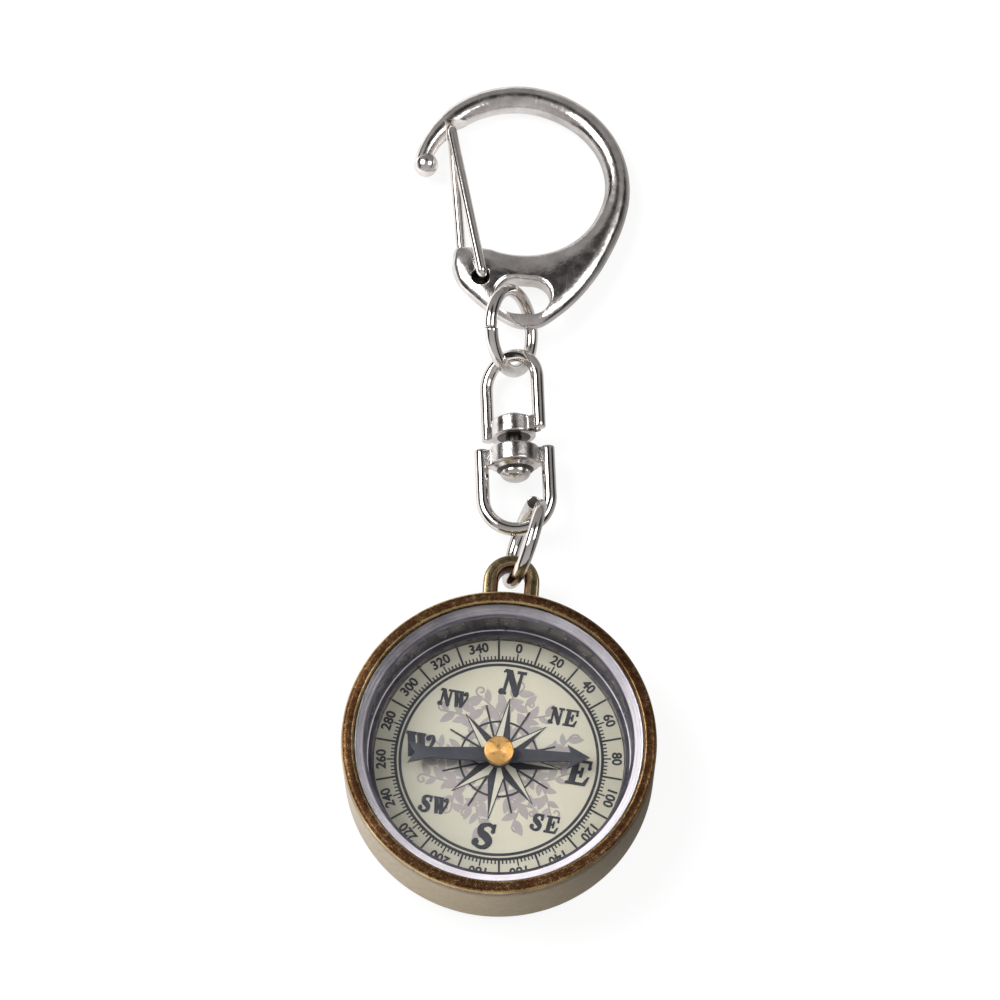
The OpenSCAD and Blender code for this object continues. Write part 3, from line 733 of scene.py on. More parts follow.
def buildSprigs():
    # leaves on either side of each stem by turns, and the stem itself
    g, ins, out = newTree("sprigLeaves", "GeometryNodeTree", {
        "Geometry": "Geometry", "Leaf": "Object", "Leaf Step": 0.0011, "Leaf Size": 1.0, "Spread": 0.9,
        "Leafy": 0.7, "Stem": 0.00009, "Seed": 4, "Finish": "Material"}, ("Geometry",))
    line, tube = tubeAlong(g, ins["Geometry"], 6, ins["Stem"])
    stem = g.add("Transform", {"Geometry": tube, "Scale": (1, 1, 0.03)})  # print is thin
    kept = g.tree.nodes.new("GeometryNodeCaptureAttribute")
    kept.capture_items.new("FLOAT", "Along")
    g.feed(kept, {0: line, 1: g.add("SplineParameter", want="Factor")})
    dots = g.add("CurveToPoints", {"Curve": kept.outputs[0], "Length": ins["Leaf Step"]}, None, mode="LENGTH")
    early = g.calc("LESS_THAN", kept.outputs[1], ins["Leafy"])
    leaf = g.add("ObjectInfo", {"As Instance": True, "Object": ins["Leaf"]}, want="Geometry")
    index = g.add("InputIndex")
    sign = g.calc("MULTIPLY_ADD", g.calc("MODULO", index, 2.0), 2.0, -1.0)
    lean = g.vector(0, 0, g.calc("MULTIPLY", sign, ins["Spread"]))
    along = g.add("FunctionNodeAlignRotationToVector", {"Vector": dots["Tangent"]}, axis="X")
    swing = g.add("FunctionNodeRotateRotation", {"Rotation": along, "Rotate By": lean}, rotation_space="LOCAL")
    spread = {"Min": 0.75, "Max": 1.15, "Seed": ins["Seed"]}
    size = g.add("FunctionNodeRandomValue", spread, "Value", data_type="FLOAT")
    lift = g.vector(0, 0, g.calc("MULTIPLY", index, 0.00000006))  # no two leaves lie in one plane
    stacked = g.add("SetPosition", {"Geometry": dots["Points"], "Offset": lift})
    leaves = g.add("InstanceOnPoints", {
        "Points": stacked, "Instance": leaf, "Selection": early, "Rotation": swing,
        "Scale": g.calc("MULTIPLY", size, ins["Leaf Size"])})
    both = g.tree.nodes.new("GeometryNodeJoinGeometry")
    for shape in (stem, leaves):
        g.feed(both, {0: shape})
    return closeTree(g, both.outputs[0], ins["Finish"], out)


def buildWire():
    # sweeps a round wire along the piece's path
    g, ins, out = newTree("bentWire", "GeometryNodeTree", {
        "Geometry": "Geometry", "Radius": 0.00075, "Sides": 28, "Finish": "Material"}, ("Geometry",))
    return closeTree(g, tubeAlong(g, ins["Geometry"], ins["Sides"], ins["Radius"])[1], ins["Finish"], out)


def polar(r, clockwise):
    # a point at a compass bearing on the card, before the card is turned
    return onArc(r, 90 - clockwise)


def turned(point, degrees):
    c, s = onArc(1, degrees)
    return point[0] * c - point[1] * s, point[0] * s + point[1] * c


def smoothLine(points, per):
    line = []
    for i in range(len(points) - 1):
        p0, p1, p2, p3 = (Vector(points[max(0, min(len(points) - 1, j))]) for j in (i - 1, i, i + 1, i + 2))
        for k in range(per):
            t = k / per
            bend = (2 * p0 - 5 * p1 + 4 * p2 - p3) * t * t + (3 * p1 - p0 - 3 * p2 + p3) * t ** 3
            line.append(0.5 * ((2 * p1) + (p2 - p0) * t + bend))
    return [tuple(p) for p in line] + [tuple(points[-1])]


def stroke(points, per=6):
    # a smooth band through points of (x, y, width)
    line = smoothLine(points, per)
    left, right = [], []
    for i, (x, y, wide) in enumerate(line):
        a, b = line[max(i - 1, 0)], line[min(i + 1, len(line) - 1)]
        d = Vector((b[0] - a[0], b[1] - a[1])).normalized() * wide / 2
        left.append((x - d.y, y + d.x))
        right.append((x + d.y, y - d.x))
    return left + right[::-1]


def grow(line, by):
    # moves each side of an outline outwards
    if turnsLeft(line) < 0:
        line = line[::-1]
    grown = []
    for i, here in enumerate(line):
        back, ahead = line[i - 1], line[(i + 1) % len(line)]
        before = Vector((here[1] - back[1], back[0] - here[0])).normalized()
        after = Vector((ahead[1] - here[1], here[0] - ahead[0])).normalized()
        push = (before + after) * by / max(0.5, 1 + before.dot(after))
        grown.append((here[0] + push.x, here[1] + push.y))
    return grown


def glyph(letter):
    # bold capitals with slab feet and small curls, in a box one unit high
    if letter == "N":
        return [box2(0.2, 0.05, 0.31, 0.93), box2(0.76, 0.1, 0.87, 0.95),
                [(0.08, 1.0), (0.38, 1.0), (0.9, 0.1), (0.84, -0.04), (0.72, -0.02)],
                box2(0.62, 0.9, 1.0, 1.0), box2(0.12, 0.0, 0.36, 0.09), spot(0.14, 0.1, 0.115),
                stroke([(0.05, 0.88, 0.05), (0.12, 0.97, 0.08), (0.24, 0.97, 0.08)])]
    if letter == "E":
        return [box2(0.2, 0.0, 0.46, 1.0),
                [(0.08, 0.91), (0.86, 0.91), (0.92, 0.66), (0.98, 0.66), (0.98, 1.0), (0.08, 1.0)],
                [(0.08, 0.0), (0.92, 0.0), (1.02, 0.36), (0.95, 0.36), (0.8, 0.1), (0.08, 0.1)],
                box2(0.4, 0.45, 0.66, 0.56), box2(0.6, 0.32, 0.7, 0.7), spot(0.94, 0.72, 0.07)]
    if letter == "S":
        return [stroke([(0.84, 0.72, 0.08), (0.78, 0.88, 0.12), (0.56, 0.96, 0.12), (0.3, 0.84, 0.22),
                        (0.34, 0.62, 0.27), (0.58, 0.48, 0.3), (0.76, 0.3, 0.27), (0.68, 0.1, 0.18),
                        (0.44, 0.04, 0.12), (0.2, 0.14, 0.12)], 7),
                spot(0.2, 0.22, 0.14), box2(0.78, 0.7, 0.88, 1.0), spot(0.82, 0.72, 0.08)]
    return [stroke([(0.1, 0.96, 0.24), (0.26, 0.5, 0.25), (0.36, 0.04, 0.2)], 3),
            stroke([(0.36, 0.04, 0.09), (0.54, 0.9, 0.09)], 2),
            stroke([(0.46, 0.96, 0.24), (0.6, 0.5, 0.25), (0.7, 0.04, 0.2)], 3),
            stroke([(0.7, 0.04, 0.1), (0.88, 0.4, 0.1), (0.98, 0.72, 0.11), (0.92, 0.94, 0.1),
                    (0.78, 0.9, 0.1)], 5),
            box2(-0.06, 0.9, 0.3, 1.0), box2(0.34, 0.9, 0.64, 1.0), spot(0.78, 0.84, 0.09)]


dial = dict(turn=-6.0, face=3.1, rings=((10.97, 11.29), (11.49, 11.81)), tickFrom=11.7, tick=0.5, longTick=0.9,
            tickWide=0.17, tickThick=0.02, dividerTo=14.0, dividerWide=0.23, numbers=18, numberAt=13.2,
            numberHigh=1.12, numberScale=1.36, numberBold=0.05, numberLift=0.022, letterAt=9.1,
            letterBold=0.045, bigLetter=2.95, smallLetter=1.95, smallAt=8.95, smallDrop=0.2, slant=0.1,
            narrow=0.94, widths={"W": 1.12, 1: 0.95, 2: 0.84}, mainPoint=7.2, sidePoint=6.5, pointBase=2.35,
            rayTo=6.5, rayFrom=2.4, rayWide=0.26, circle=4.4, circleWide=0.24, pinHole=0.52,
            heights=dict(ring=0.03, circle=0.048, letter=0.05, light=0.058, dark=0.066))


def flatRing(name, inner, outer, foot, high, steps=256):
    return lathe(name, box2(inner, foot, outer, foot + high), steps)


def makePrint(d):
    pieces = []
    face, high, pinHole = d["face"], d["heights"], d["pinHole"]
    divider = d["dividerTo"] - d["tickFrom"]
    tickRows = ((180, d["tick"], d["longTick"], 10, d["tickWide"], 0.0),
                (d["numbers"], divider, divider, 1, d["dividerWide"], 10.0))
    for count, short, long, every, wide, offset in tickRows:
        seed = addPiece("ticks%d" % count, [(0, 0, 0)], [])
        pieces.append(runTree(seed, ticksTree, {
            "Count": count, "Start Radius": d["tickFrom"] * mm, "Short": short * mm, "Long": long * mm,
            "Long Every": every, "Width": wide * mm, "Foot": (face + d["tickThick"]) * mm,
            "Turn": math.radians(90 + d["turn"] - offset), "Thick": d["tickThick"] * mm, "Finish": blackInk}))
    pieces += [flatRing("ringLine%d" % i, a, b, face, high["ring"]) for i, (a, b) in enumerate(d["rings"])]
    for k in range(d["numbers"]):
        curve = bpy.data.curves.new("number", "FONT")
        curve.body, curve.size = str(20 * k), d["numberHigh"] * d["numberScale"] * mm
        curve.extrude, curve.offset, curve.resolution_u = d["tickThick"] / 2 * mm, d["numberBold"] * mm, 3
        curve.align_x, curve.align_y = "CENTER", "CENTER"
        text = bakeModifiers(addObject("number%d" % k, curve))
        x, y = turned(polar(d["numberAt"], 20 * k), d["turn"])
        text.data.transform(shift(x, y, face + d["numberLift"]) @ spin(d["turn"] - 20 * k))
        pieces.append(text)
    letters = []
    for k, word in enumerate(("N", "NE", "E", "SE", "S", "SW", "W", "NW")):
        single = len(word) == 1
        tall = d["bigLetter"] if single else d["smallLetter"]
        wide = tall * d["widths"].get(word, d["widths"][len(word)])
        cx, cy = polar(d["letterAt"] if single else d["smallAt"], 45 * k)
        cy -= 0 if single else d["smallDrop"]
        for i, letter in enumerate(word):
            x0 = cx + (i - len(word) / 2) * wide
            for line in glyph(letter):
                lean = [(x * d["narrow"] + d["slant"] * (y - 0.5), y - 0.5) for x, y in line]
                placed = [(x0 + x * wide, cy + y * tall) for x, y in lean]
                letters.append([turned(p, d["turn"]) for p in grow(placed, d["letterBold"])])
    pieces.append(flatPlate("letters", letters, face + high["letter"]))
    darks, lights = [], []
    for k in range(8):
        bearing = 45 * k
        side = bearing + 22.5
        tip = polar(d["sidePoint"] if k % 2 else d["mainPoint"], bearing)
        base = d["pointBase"] * (0.98 if k % 2 else 1)
        left, right = polar(base, bearing - 22.5), polar(base, side)
        ray = [(*polar(d["rayFrom"], side), d["rayWide"]), (*polar(d["rayTo"], side), d["rayWide"] * 0.8)]
        darks += [[polar(pinHole, side), right, tip, polar(pinHole, bearing)],
                  stroke([(*left, 0.14), (*tip, 0.1)], 1), stroke(ray, 1)]
        lights.append([polar(pinHole, bearing), tip, left, polar(pinHole, bearing - 22.5)])
    darks, lights = ([[turned(p, d["turn"]) for p in line] for line in lines] for lines in (darks, lights))
    pieces.append(flatPlate("roseDark", darks, face + high["dark"]))
    ringAt, half = d["circle"], d["circleWide"] / 2
    pieces.append(flatRing("roseCircle", ringAt - half, ringAt + half, face, high["circle"], 160))
    ink = joinPieces("dialPrint", [paint(piece, blackInk) for piece in pieces])
    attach(ink, "case_body")
    cream = paint(flatPlate("roseLight", lights, face + high["light"]), roseCream)
    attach(cream, "case_body")


foliage = dict(stems=18, start=2.4, reach=8.7, reaches=(1.0, 0.8, 0.92), bearings=(5, 0, -4), bow=1.15,
               leafLong=1.85, leafWide=0.86, leafStep=0.74, spread=0.8, curl=0.5, curlTurn=24, leafy=0.72,
               seed=11, stem=0.1, thick=0.006, lift=0.008, points=16)


def makeFoliage(f, d):
    count = f["points"]
    shares = [k / 8 for k in range(9)]
    outline = [(f["leafLong"] * t, f["leafWide"] / 2 * math.sin(math.pi * t ** 0.8) ** 0.8) for t in shares]
    leaf = flatPlate("leafShape", [outline + [(x, -y) for x, y in reversed(outline[1:-1])]], 0.0, f["thick"])
    points, edges = [], []
    for k in range(f["stems"]):
        bearing = 360 * k / f["stems"] + f["bearings"][k % 3]
        reach = f["reach"] * f["reaches"][k % 3]
        side = 1 if k % 2 else -1
        line = []
        for t in [j / count for j in range(count + 1)]:
            x, y = polar(blend(f["start"], reach, t), bearing)
            nx, ny = polar(side * f["bow"] * math.sin(math.pi * t * 1.15), bearing + 90)
            line.append((x + nx, y + ny))
        cx, cy = line[-1]
        heading = math.degrees(math.atan2(cy - line[-2][1], cx - line[-2][0]))
        for j in range(1, count + 1):  # the curl at the end of the stem
            dx, dy = onArc(f["curl"] * (1 - j / 20) * 0.5, heading - side * f["curlTurn"] * j)
            cx, cy = cx + dx, cy + dy
            line.append((cx, cy))
        edges += [(len(points) + j, len(points) + j + 1) for j in range(len(line) - 1)]
        points += [(*turned(p, d["turn"]), 0) for p in line]
    stems = addPiece("dialFoliage", points, [], edges)
    runTree(stems, sprigTree, {
        "Leaf": leaf, "Leaf Step": f["leafStep"] * mm, "Leaf Size": 1.0, "Spread": f["spread"],
        "Leafy": f["leafy"], "Stem": f["stem"] * mm, "Seed": f["seed"], "Finish": foliageInk})
    stems.data.transform(shift(0, 0, d["face"] + f["lift"]))
    bpy.data.objects.remove(leaf)
    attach(stems, "case_body")


ticksTree, sprigTree, wireTree = buildTicks(), buildSprigs(), buildWire()
makePrint(dial)
makeFoliage(foliage, dial)
print("dial printed")


needleShape = dict(foot=4.6, thick=0.3, long=20.4, turn=2.0, hub=1.2, hubHigh=1.0, cap=1.65, capThick=0.7,
                   blade=1.7, headWide=2.8, headLong=2.6, tailWide=2.5, tailLong=2.4, bore=0.87, bevel=0.05)


def makeNeedle(s):
    half, hub, bore, blade = s["long"] / 2, s["hub"], s["bore"], s["blade"] / 2
    head, tail = s["headLong"], s["tailLong"]
    side = [(half, 0), (half - head * 0.98, s["headWide"] / 2), (half - head * 0.84, blade * 0.6), (hub, blade),
            (-hub, blade), (tail - half, blade * 0.72), (-half, s["tailWide"] / 2), (tail / 3 - half, 0)]
    outline = side + [(x, -y) for x, y in reversed(side[1:-1])]
    top = s["foot"] + s["thick"]
    plate = flatPlate("needleArrow", [outline, arcLine(0, 0, hub * 1.25, 0, 350, 35)], top, s["thick"])
    bevelEdges(plate, s["bevel"], 50)
    cut(plate, lathe("needleBore", box2(0, s["foot"] - 1, bore, top + 1), 48))
    plate.data.transform(spin(s["turn"]))
    smooth(paint(plate, needleEnamel), 35)
    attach(plate, "needle_body")
    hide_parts("needle")
    foot, cap = top + s["hubHigh"], s["cap"]
    crown = foot + s["capThick"]
    inHub = [(bore, top, 0), (hub, top, 0), (hub, foot - 0.02, 0.1), (bore, foot - 0.02, 0)]
    inCap = [(0, foot, 0), (cap, foot, 0.08), (cap, crown, 0.14), (cap - 0.28, crown - 0.02, 0.05),
             (0, crown - 0.05, 0)]
    barrel, disc = lathe("needleHub", roundCorners(inHub, 4), 96), lathe("capDisc", roundCorners(inCap, 5), 128)
    whole = smooth(joinPieces("needleCap", [paint(barrel, needleEnamel), paint(disc, turnedBrass)]), 35)
    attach(whole, "needle_body")
    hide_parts("needle_cap")


makeNeedle(needleShape)
print("needle made")


def makeWire(name, line, thick, place, body, node):
    points = [tuple(place @ (Vector(p) * mm)) for p in line]
    wire = addPiece(name, points, [], [(i, i + 1) for i in range(len(line) - 1)], 1)
    runTree(wire, wireTree, {"Radius": thick / 2 * mm, "Sides": 32, "Finish": nickelWire})
    smooth(bevelEdges(closeAndTurnOut(wire), thick * 0.07, 60), 50)
    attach(wire, body)
    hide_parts(node)
    return wire


rings = dict(across=11.0, wire=1.5, points=144, lower=dict(turn=-10, lean=15, split=118, gap=0.15, step=0.9),
             upper=dict(turn=-4, lean=-29, split=200, gap=0.07, step=0.16))


def makeRing(name, spec, body, node):
    r = (rings["across"] - rings["wire"]) / 2
    halfGap = math.degrees(spec["gap"] / 2 / r)
    line = []
    for t in [k / rings["points"] for k in range(rings["points"] + 1)]:
        side = spec["step"] * (0.5 - t) * abs(2 * t - 1) ** 6  # the ends stand beside each other
        line.append((*onArc(r, spec["split"] + halfGap + (360 - 2 * halfGap) * t), side))
    place = turnMatrix(jointPlace(body + "_turn"), 0, 90 + spec["lean"], spec["turn"])
    ring = makeWire(name, line, rings["wire"], place, body, node)
    # painted shade: the cut ends of the wire get the dark nickel
    ring.data.materials.append(darkRecess)
    for face in ring.data.polygons:
        face.material_index = 1 if len(face.vertices) > 8 else 0  # the cut ends


makeRing("lowerJumpRing", rings["lower"], "lower_ring", "lower_jump_ring")
makeRing("upperJumpRing", rings["upper"], "upper_ring", "upper_jump_ring")


swivel = dict(turn=6.2, long=23.1, lowSpin=-4, upSpin=-34, space=1.4, rivet=1.8, head=3.5, headHigh=1.1,
              play=0.05, earBend=80, earCurl=0.34,
              low=dict(width=7.7, wire=1.6, long=10.7, collar=5.8, collarLong=2.3, taper=0.6),
              up=dict(width=7.1, wire=1.5, long=10.6, collar=5.1, collarLong=2.1, taper=0))


def bowLine(b):
    r, leg = b["width"] / 2, 12
    middle = r + b["wire"] / 2
    rows = [blend(b["long"], middle, k / leg) for k in range(leg)]
    bend = [(x, middle + y, 0) for x, y in (onArc(r, a) for a in range(0, -181, -4))]
    return [(r, y, 0) for y in rows] + bend + [(-r, y, 0) for y in reversed(rows)]


def makeCollar(name, c, y, place, body, node):
    # a turned band with an ear pressed onto each leg of its bow
    bore, r, long, half = swivel["rivet"] / 2 + swivel["play"], c["collar"] / 2, c["collarLong"], c["wire"] / 2
    edge, foot = 0.03, c["taper"]
    corners = [(r, long, 0.22), (bore, long, 0)]
    if foot:
        head = swivel["head"] / 2
        corners = [(bore, -foot, 0), (head + 0.1, -foot, 0.12), (head + 0.4, -foot * 0.55, 0),
                   (r - c["wire"] / 4, 0, 0.1), (r, 0.25, 0.2), *corners]
    else:
        corners = [(bore, 0, 0), (r - 0.6, 0, 0), (r, 0, 0.22), *corners]
    drum = paint(lathe(name + "Drum", roundCorners(corners, steps=5), 128), nickelCollar, darkRecess)
    # painted shade on the faces round the bore
    shadedReach = head + 0.41 if foot else r - 0.59
    for face in drum.data.polygons:
        reach = max(drum.data.vertices[v].co.xy.length for v in face.vertices)
        face.material_index = 1 if reach < shadedReach * mm else 0
    parts = [drum]
    for side in (1, -1):
        x0, x1 = bore + 0.4, c["width"] / 2
        top = long - edge
        line = roundCorners([(x0, edge, 0), (x1, edge, 0.2), (x1, top, 0.2), (x0, top, 0)], steps=4)
        sections = []
        for bend in range(-swivel["earBend"], swivel["earBend"] + 1, 20):
            ahead, across = onArc(1, bend)
            w = half * across / math.sin(math.radians(swivel["earBend"]))
            inset = swivel["earCurl"] * (1 - ahead)
            sections.append([(side * (x - inset if x > x0 + 0.3 else x), w,
                              min(max(z, inset + edge), long - inset - edge)) for x, z in line])
        ear = paint(sweepSections(name + "Ear", sections), nickelCollar)
        leg = half + 0.01
        cut(ear, paint(lathe("legHole", box2(0, -3, leg, 6), 40, shift(side * x1, 0)), nickelCollar))
        parts.append(ear)
    whole = joinPieces(name, parts)
    whole.data.transform(place @ shift(0, y) @ spin(-90, "X"))
    smooth(whole, 35)
    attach(whole, body)
    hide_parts(node)


def makeSwivel(s):
    low, up = s["low"], s["up"]
    lowPlace, upPlace = (turnMatrix(jointPlace("swivel_spin"), 0, 0, s["turn"]) @ spin(s[key], "Y")
                         for key in ("lowSpin", "upSpin"))
    makeWire("lowerBow", bowLine(low), low["wire"], lowPlace, "swivel_lower", "swivel_lower_bow")
    makeWire("upperBow", bowLine(up), up["wire"], upPlace @ shift(0, s["long"]) @ spin(180), "swivel_upper",
             "swivel_upper_bow")
    lowY, upY = low["long"] - low["collarLong"], low["long"] + s["space"]
    makeCollar("lowerCollar", low, lowY, lowPlace, "swivel_lower", "swivel_lower_collar")
    makeCollar("upperCollar", up, upY, upPlace, "swivel_upper", "swivel_upper_collar")
    headY, endY = lowY - low["taper"] - 0.05, upY + up["collarLong"] + 0.01
    r, high, shank, button = s["head"] / 2, s["headHigh"], s["rivet"] / 2, s["head"] * 0.4
    dome = [(r * math.sin(t), headY - high * math.cos(t)) for t in [math.radians(7.5 * k) for k in range(12)]]
    tail = endY + high / 2
    rest = roundCorners([(r, headY, 0.05), (shank, headY, 0), (shank, endY, 0), (button, endY, 0),
                         (button, tail, 0.25), (0, tail, 0)], steps=4)
    rivet = paint(lathe("swivelRivetTurned", dome + rest, 96), nickelCollar, darkRecess)
    # painted shade on the shank between the head and the far end
    for face in rivet.data.polygons:
        face.material_index = 1 if headY * mm < face.center.z < endY * mm else 0
    rivet.data.transform(upPlace @ spin(-90, "X"))
    smooth(rivet, 40)
    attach(rivet, "swivel_upper")
    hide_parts("swivel_rivet")


makeSwivel(swivel)
print("rings and swivel made")


clip = dict(opening=9.3, plate=2.7, horn=3.1, pitch=-3.6, steps=300, sides=48, eyeWide=6.2, eyeHigh=4.5,
            eyeRound=0.62, eyeAt=(0.135, -1.67), frontAt=(-0.41, -1.43), backAt=(-0.67, -1.17),
            tipAt=(-0.957, 0.717), ballAt=(-1.245, 0.188), ball=2.9, gateWire=1.2, loop=1.3, gateLift=0.42,
            gateHole=1.9, holeDeep=1.6, gateGap=0.15, gateOpen=18, gateBend=0.62, loopBend=1.5, bendShare=0.62,
            bendMost=0.45, seatFrom=0.55, seatTurn=31.5, seatDrop=0.3,
            # rows of angle, outer radius and inner radius, as shares of the opening
            edges=((-127.2, 1.29, 1.272), (-126.9, 1.32, 1.256), (-126.4, 1.345, 1.234), (-125.6, 1.375, 1.21),
                   (-124.2, 1.425, 1.18), (-122, 1.51, 1.155), (-118, 1.605, 1.11), (-114, 1.68, 1.075),
                   (-108, 1.755, 1.045), (-104, 1.81, 1.045), (-95, 1.955, 1.05), (-89, 2.05, 1.05),
                   (-84, 2.08, 1.055), (-79, 2.055, 1.06), (-72, 1.94, 1.065), (-62, 1.785, 1.075),
                   (-50, 1.63, 1.08), (-36, 1.5, 1.08), (-20, 1.425, 1.07), (-2, 1.39, 1.07), (16, 1.37, 1.055),
                   (40, 1.365, 1.035), (65, 1.38, 1.025), (90, 1.41, 1.055), (112, 1.43, 1.09),
                   (130, 1.435, 1.12), (144, 1.425, 1.15), (154, 1.42, 1.185), (162, 1.42, 1.2),
                   (168, 1.42, 1.205), (172, 1.41, 1.2)),
            # rows of angle, share of the plate's height, share of the horn's height and roundness
            forms=((-127.2, 0.12, 0, 1), (-126.6, 0.23, 0, 1), (-125, 0.34, 0, 0.95), (-121, 0.44, 0, 0.88),
                   (-114, 0.5, 0, 0.75), (-75, 0.5, 0, 0.7), (-50, 0.4, 0.09, 0.78), (-30, 0.25, 0.23, 0.9),
                   (0, 0, 0.49, 1), (40, 0, 0.5, 1), (120, 0, 0.5, 0.95), (150, 0, 0.45, 0.9), (172, 0, 0.38, 1)))
clipPlace = turnMatrix(Vector(mounts["clip_hook"]["pos_m"]) / mm, clip["pitch"])


def along(rows, a, column):
    # smooth reading between the rows of a table
    i = 0
    while i < len(rows) - 2 and a > rows[i + 1][0]:
        i += 1
    p0, p1, p2, p3 = rows[max(i - 1, 0)], rows[i], rows[i + 1], rows[min(i + 2, len(rows) - 1)]
    span = p2[0] - p1[0]
    t = (a - p1[0]) / span
    m1 = (p2[column] - p0[column]) / (p2[0] - p0[0]) * span
    m2 = (p3[column] - p1[column]) / (p3[0] - p1[0]) * span
    return ((2 * t ** 3 - 3 * t ** 2 + 1) * p1[column] + (t ** 3 - 2 * t ** 2 + t) * m1
            + (3 * t ** 2 - 2 * t ** 3) * p2[column] + (t ** 3 - t ** 2) * m2)


def clipSection(s, a):
    outer, inner = (s["opening"] * along(s["edges"], a, column) for column in (1, 2))
    plate, horn, power = (along(s["forms"], a, column) for column in (1, 2, 3))
    high = s["plate"] * plate + s["horn"] * horn
    ring = []
    for j in range(s["sides"]):
        u, w = (softPower(c, power) for c in onArc(1, 360 * j / s["sides"]))
        ring.append((*onArc((outer + inner) / 2 + (outer - inner) / 2 * u, a), high * w))
    return ring


def makeClip(s):
    face, wire, gap = s["plate"] / 2, s["gateWire"] / 2, s["gateGap"]
    places = ("eyeAt", "frontAt", "backAt", "tipAt", "ballAt")
    eyeAt, front, back, tip, ballAt = (Vector(s[key]) * s["opening"] for key in places)
    first, last, count = s["edges"][0][0], s["edges"][-1][0], s["steps"]
    angles = [blend(first, last, i / count) for i in range(count + 1)]
    body = sweepSections("clipBody", [clipSection(s, a) for a in angles])
    soft = s["eyeRound"]
    levels = [(soft * (1 - c), face - soft * (1 - w)) for c, w in (onArc(1, 90 * k / 8) for k in range(9))]
    levels.append((levels[-1][0] + 0.4, face + 0.4))
    reach, r = (s["eyeWide"] - s["eyeHigh"]) / 2, s["eyeHigh"] / 2
    sections = []
    for grown, z in [(wide, -z) for wide, z in reversed(levels)] + levels:
        ends = arcLine(reach, 0, r + grown, -90, 90, 20) + arcLine(-reach, 0, r + grown, 90, 270, 20)
        sections.append([(x, y, z) for x, y in ends])
    eye = sweepSections("eyeCutter", sections)
    eye.data.transform(shift(*eyeAt))
    pivot = (front + back) / 2
    r, floor = s["gateHole"] / 2, face - s["holeDeep"]
    profile = [(0, floor), (r, floor), (r, face - 0.22), (r + 0.1, face - 0.06), (r + 0.3, face + 0.08),
               (r + 0.3, face + 1), (0, face + 1)]
    holes = []
    for end, side in ((front, 1), (back, -1)):
        off = turned(end - pivot, -s["gateOpen"] / 2)
        place = shift(pivot.x + off[0], pivot.y + off[1]) @ spin(0 if side > 0 else 180, "X")
        # the hole walls carry painted shade
        holes.append(paint(lathe("gateHole", profile, 48, place), darkRecess))
    direction = tip - pivot
    edge, axis = wire + gap, direction.normalized()
    reach = direction.length + edge
    startA = math.degrees(math.asin(edge / reach))
    near = reach * s["seatFrom"]
    arc = arcLine(0, 0, reach, startA, startA - s["seatTurn"], 21)
    wedge = [(near, edge), *arc, (near, -reach * s["seatDrop"])]
    seat = sweepSections("seatCutter", [[(*p, z) for p in wedge] for z in (-s["horn"], s["horn"])])
    seat.data.transform(shift(*pivot) @ spin(math.degrees(math.atan2(direction.y, direction.x))))
    for piece in (body, eye, seat):
        paint(piece, nickelCast)
    cut(body, eye, *holes, seat)
    ballLine = [(max(x, 0), -y) for y, x in (onArc(s["ball"] / 2, 7.5 * k) for k in range(25))]
    ball = paint(lathe("noseBall", ballLine, 48, shift(*ballAt)), nickelCast)
    whole = joinPieces("clipCasting", [body, ball])
    whole.data.transform(clipPlace)
    smooth(whole, 42)
    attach(whole, "clip")
    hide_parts("clip_body")

    side = face + wire + s["gateLift"]
    deep = face - s["holeDeep"] + gap + wire
    loop = tip - axis * s["loop"]
    corners = [((*front, deep), 0), ((*front, side), s["gateBend"]), ((*loop, s["loop"]), s["loopBend"])]
    corners += [((*(loop + axis * x), z), 0) for x, z in (onArc(s["loop"], a) for a in range(80, -81, -10))]
    corners += [((*loop, -s["loop"]), s["loopBend"]), ((*back, -side), s["gateBend"]), ((*back, -deep), 0)]
    line = []
    for i, (p, r) in enumerate(corners):
        p = Vector(p)
        if r == 0:
            line.append(p)
            continue
        a, b = (Vector(corners[j][0]) - p for j in (i - 1, i + 1))
        cutBack = min(r * s["bendShare"], a.length * s["bendMost"], b.length * s["bendMost"])
        start, end = p + a.normalized() * cutBack, p + b.normalized() * cutBack
        line += [(1 - t) ** 2 * start + 2 * t * (1 - t) * p + t * t * end for t in [k / 8 for k in range(9)]]
    makeWire("clipGate", line, s["gateWire"], clipPlace, "gate", "clip_gate")


makeClip(clip)
print("clip made")


studio = dict(floor=1.6, floorDrop=0.00002, floorTone=0.22, glow=0.85, shine=(1.1, 0.0), shineWide=0.022,
              lamps=(((-0.36, 0.14, 0.5), 0.36, 2.45), ((0.36, 0.08, 0.5), 0.3, 1.0)), lampsAt=(0, 0.03, 0),
              room=((0.0, (0.55, 0.545, 0.55)), (0.5, (0.3, 0.295, 0.295)), (0.9, (0.3, 0.295, 0.295))),
              dark=(0.022, 0.021, 0.022), darkAt=(0.0, 0.4, 0.917), darkReach=(0.935, 0.985),
              walls=((0.7, 0.8), (1.0, 0.93)), lens=139.5, sensor=36, nearest=0.01,
              cameraAt=(0.00901, -0.1271, 0.42067), target=(-0.00214, 0.03231, 0.0))


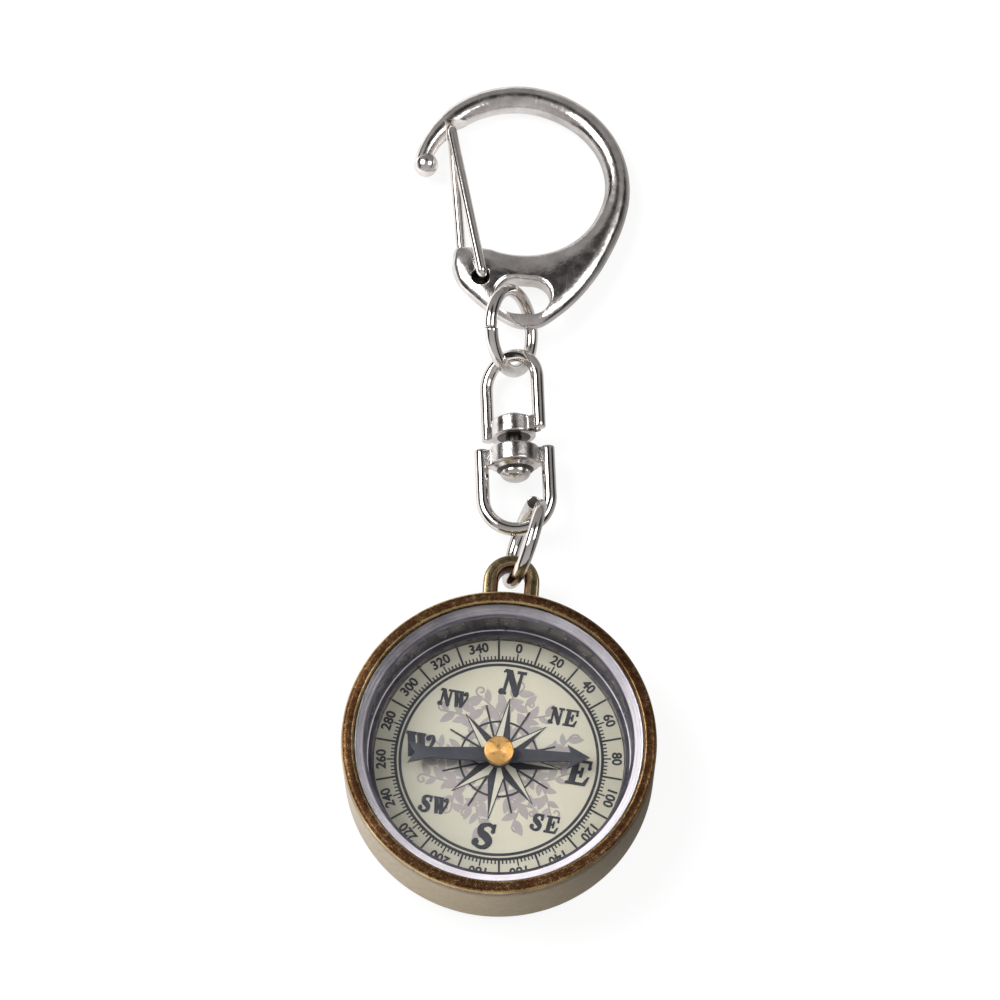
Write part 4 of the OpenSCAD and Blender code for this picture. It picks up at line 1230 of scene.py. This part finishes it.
def makeFloor(s):
    w = s["floor"]
    corners = [(x, y, -s["floorDrop"]) for x, y in box2(-w, -w, w, w)]
    floor = addPiece("studioFloor", corners, [[0, 1, 2, 3]], scale=1)
    mat, g, shader = newMaterial("floorPaper", Roughness=1.0, Specular_IOR_Level=0.0,
                                 Base_Color=(*[s["floorTone"]] * 3, 1))
    path = g.add("LightPath", want=None)
    seen = g.calc("MAXIMUM", path["Is Camera Ray"], path["Is Transmission Ray"])
    # painted reflection: for reflections only, the floor glows brighter on the left than on the right
    across = g.span(g.add("SeparateXYZ", {0: g.place()}, "X"), -s["shineWide"], s["shineWide"], *s["shine"])
    shine = g.calc("MULTIPLY", path["Is Glossy Ray"], across)
    strength = g.calc("MAXIMUM", g.calc("MULTIPLY", seen, s["glow"]), shine)
    glow = g.add("Emission", {"Strength": strength})
    g.finish({"Surface": g.add("AddShader", {0: shader.outputs[0], 1: glow})})
    paint(floor, mat)


def makeRoom(s):
    world = bpy.data.worlds.new("softRoom")
    world.use_nodes = True
    scene.world = world
    g = Graph(world.node_tree)
    place = g.add("TexCoord", want="Generated")
    split = g.add("SeparateXYZ", {0: place}, None)
    ramp = g.add("ValToRGB", {0: g.calc("MULTIPLY_ADD", split["Y"], 0.5, 0.5)})  # lighter in front
    elements = ramp.node.color_ramp.elements
    elements.new(0.5)
    for element, (at, tone) in zip(elements, s["room"]):
        element.position, element.color = at, (*tone, 1)
    near = g.add("ShaderNodeVectorMath", {0: place, 1: s["darkAt"]}, operation="DOT_PRODUCT", want="Value")
    panel = g.span(near, *s["darkReach"])  # an unlit panel keeps glare off the lens
    sideways = g.calc("ABSOLUTE", split["X"])
    walls = g.calc("MULTIPLY", *[g.span(sideways, *span) for span in s["walls"]])
    g.finish({"Color": g.mix(g.calc("MAXIMUM", panel, walls), ramp, s["dark"])}, "Background")


def aimed(name, data, at, target):
    thing = addObject(name, data)
    thing.location = at
    thing.rotation_euler = (Vector(target) - Vector(at)).to_track_quat("-Z", "Y").to_euler()
    return thing


makeFloor(studio)
makeRoom(studio)
for number, (lampAt, lampWide, power) in enumerate(studio["lamps"]):
    light = bpy.data.lights.new("softbox%d" % number, "AREA")
    light.size, light.energy = lampWide, power
    aimed(light.name, light, lampAt, studio["lampsAt"])
camera = bpy.data.cameras.new("photoView")
camera.lens, camera.sensor_width, camera.clip_start = studio["lens"], studio["sensor"], studio["nearest"]
scene.camera = aimed("photoView", camera, studio["cameraAt"], studio["target"])
scene.view_settings.view_transform = "Standard"
print("studio ready")
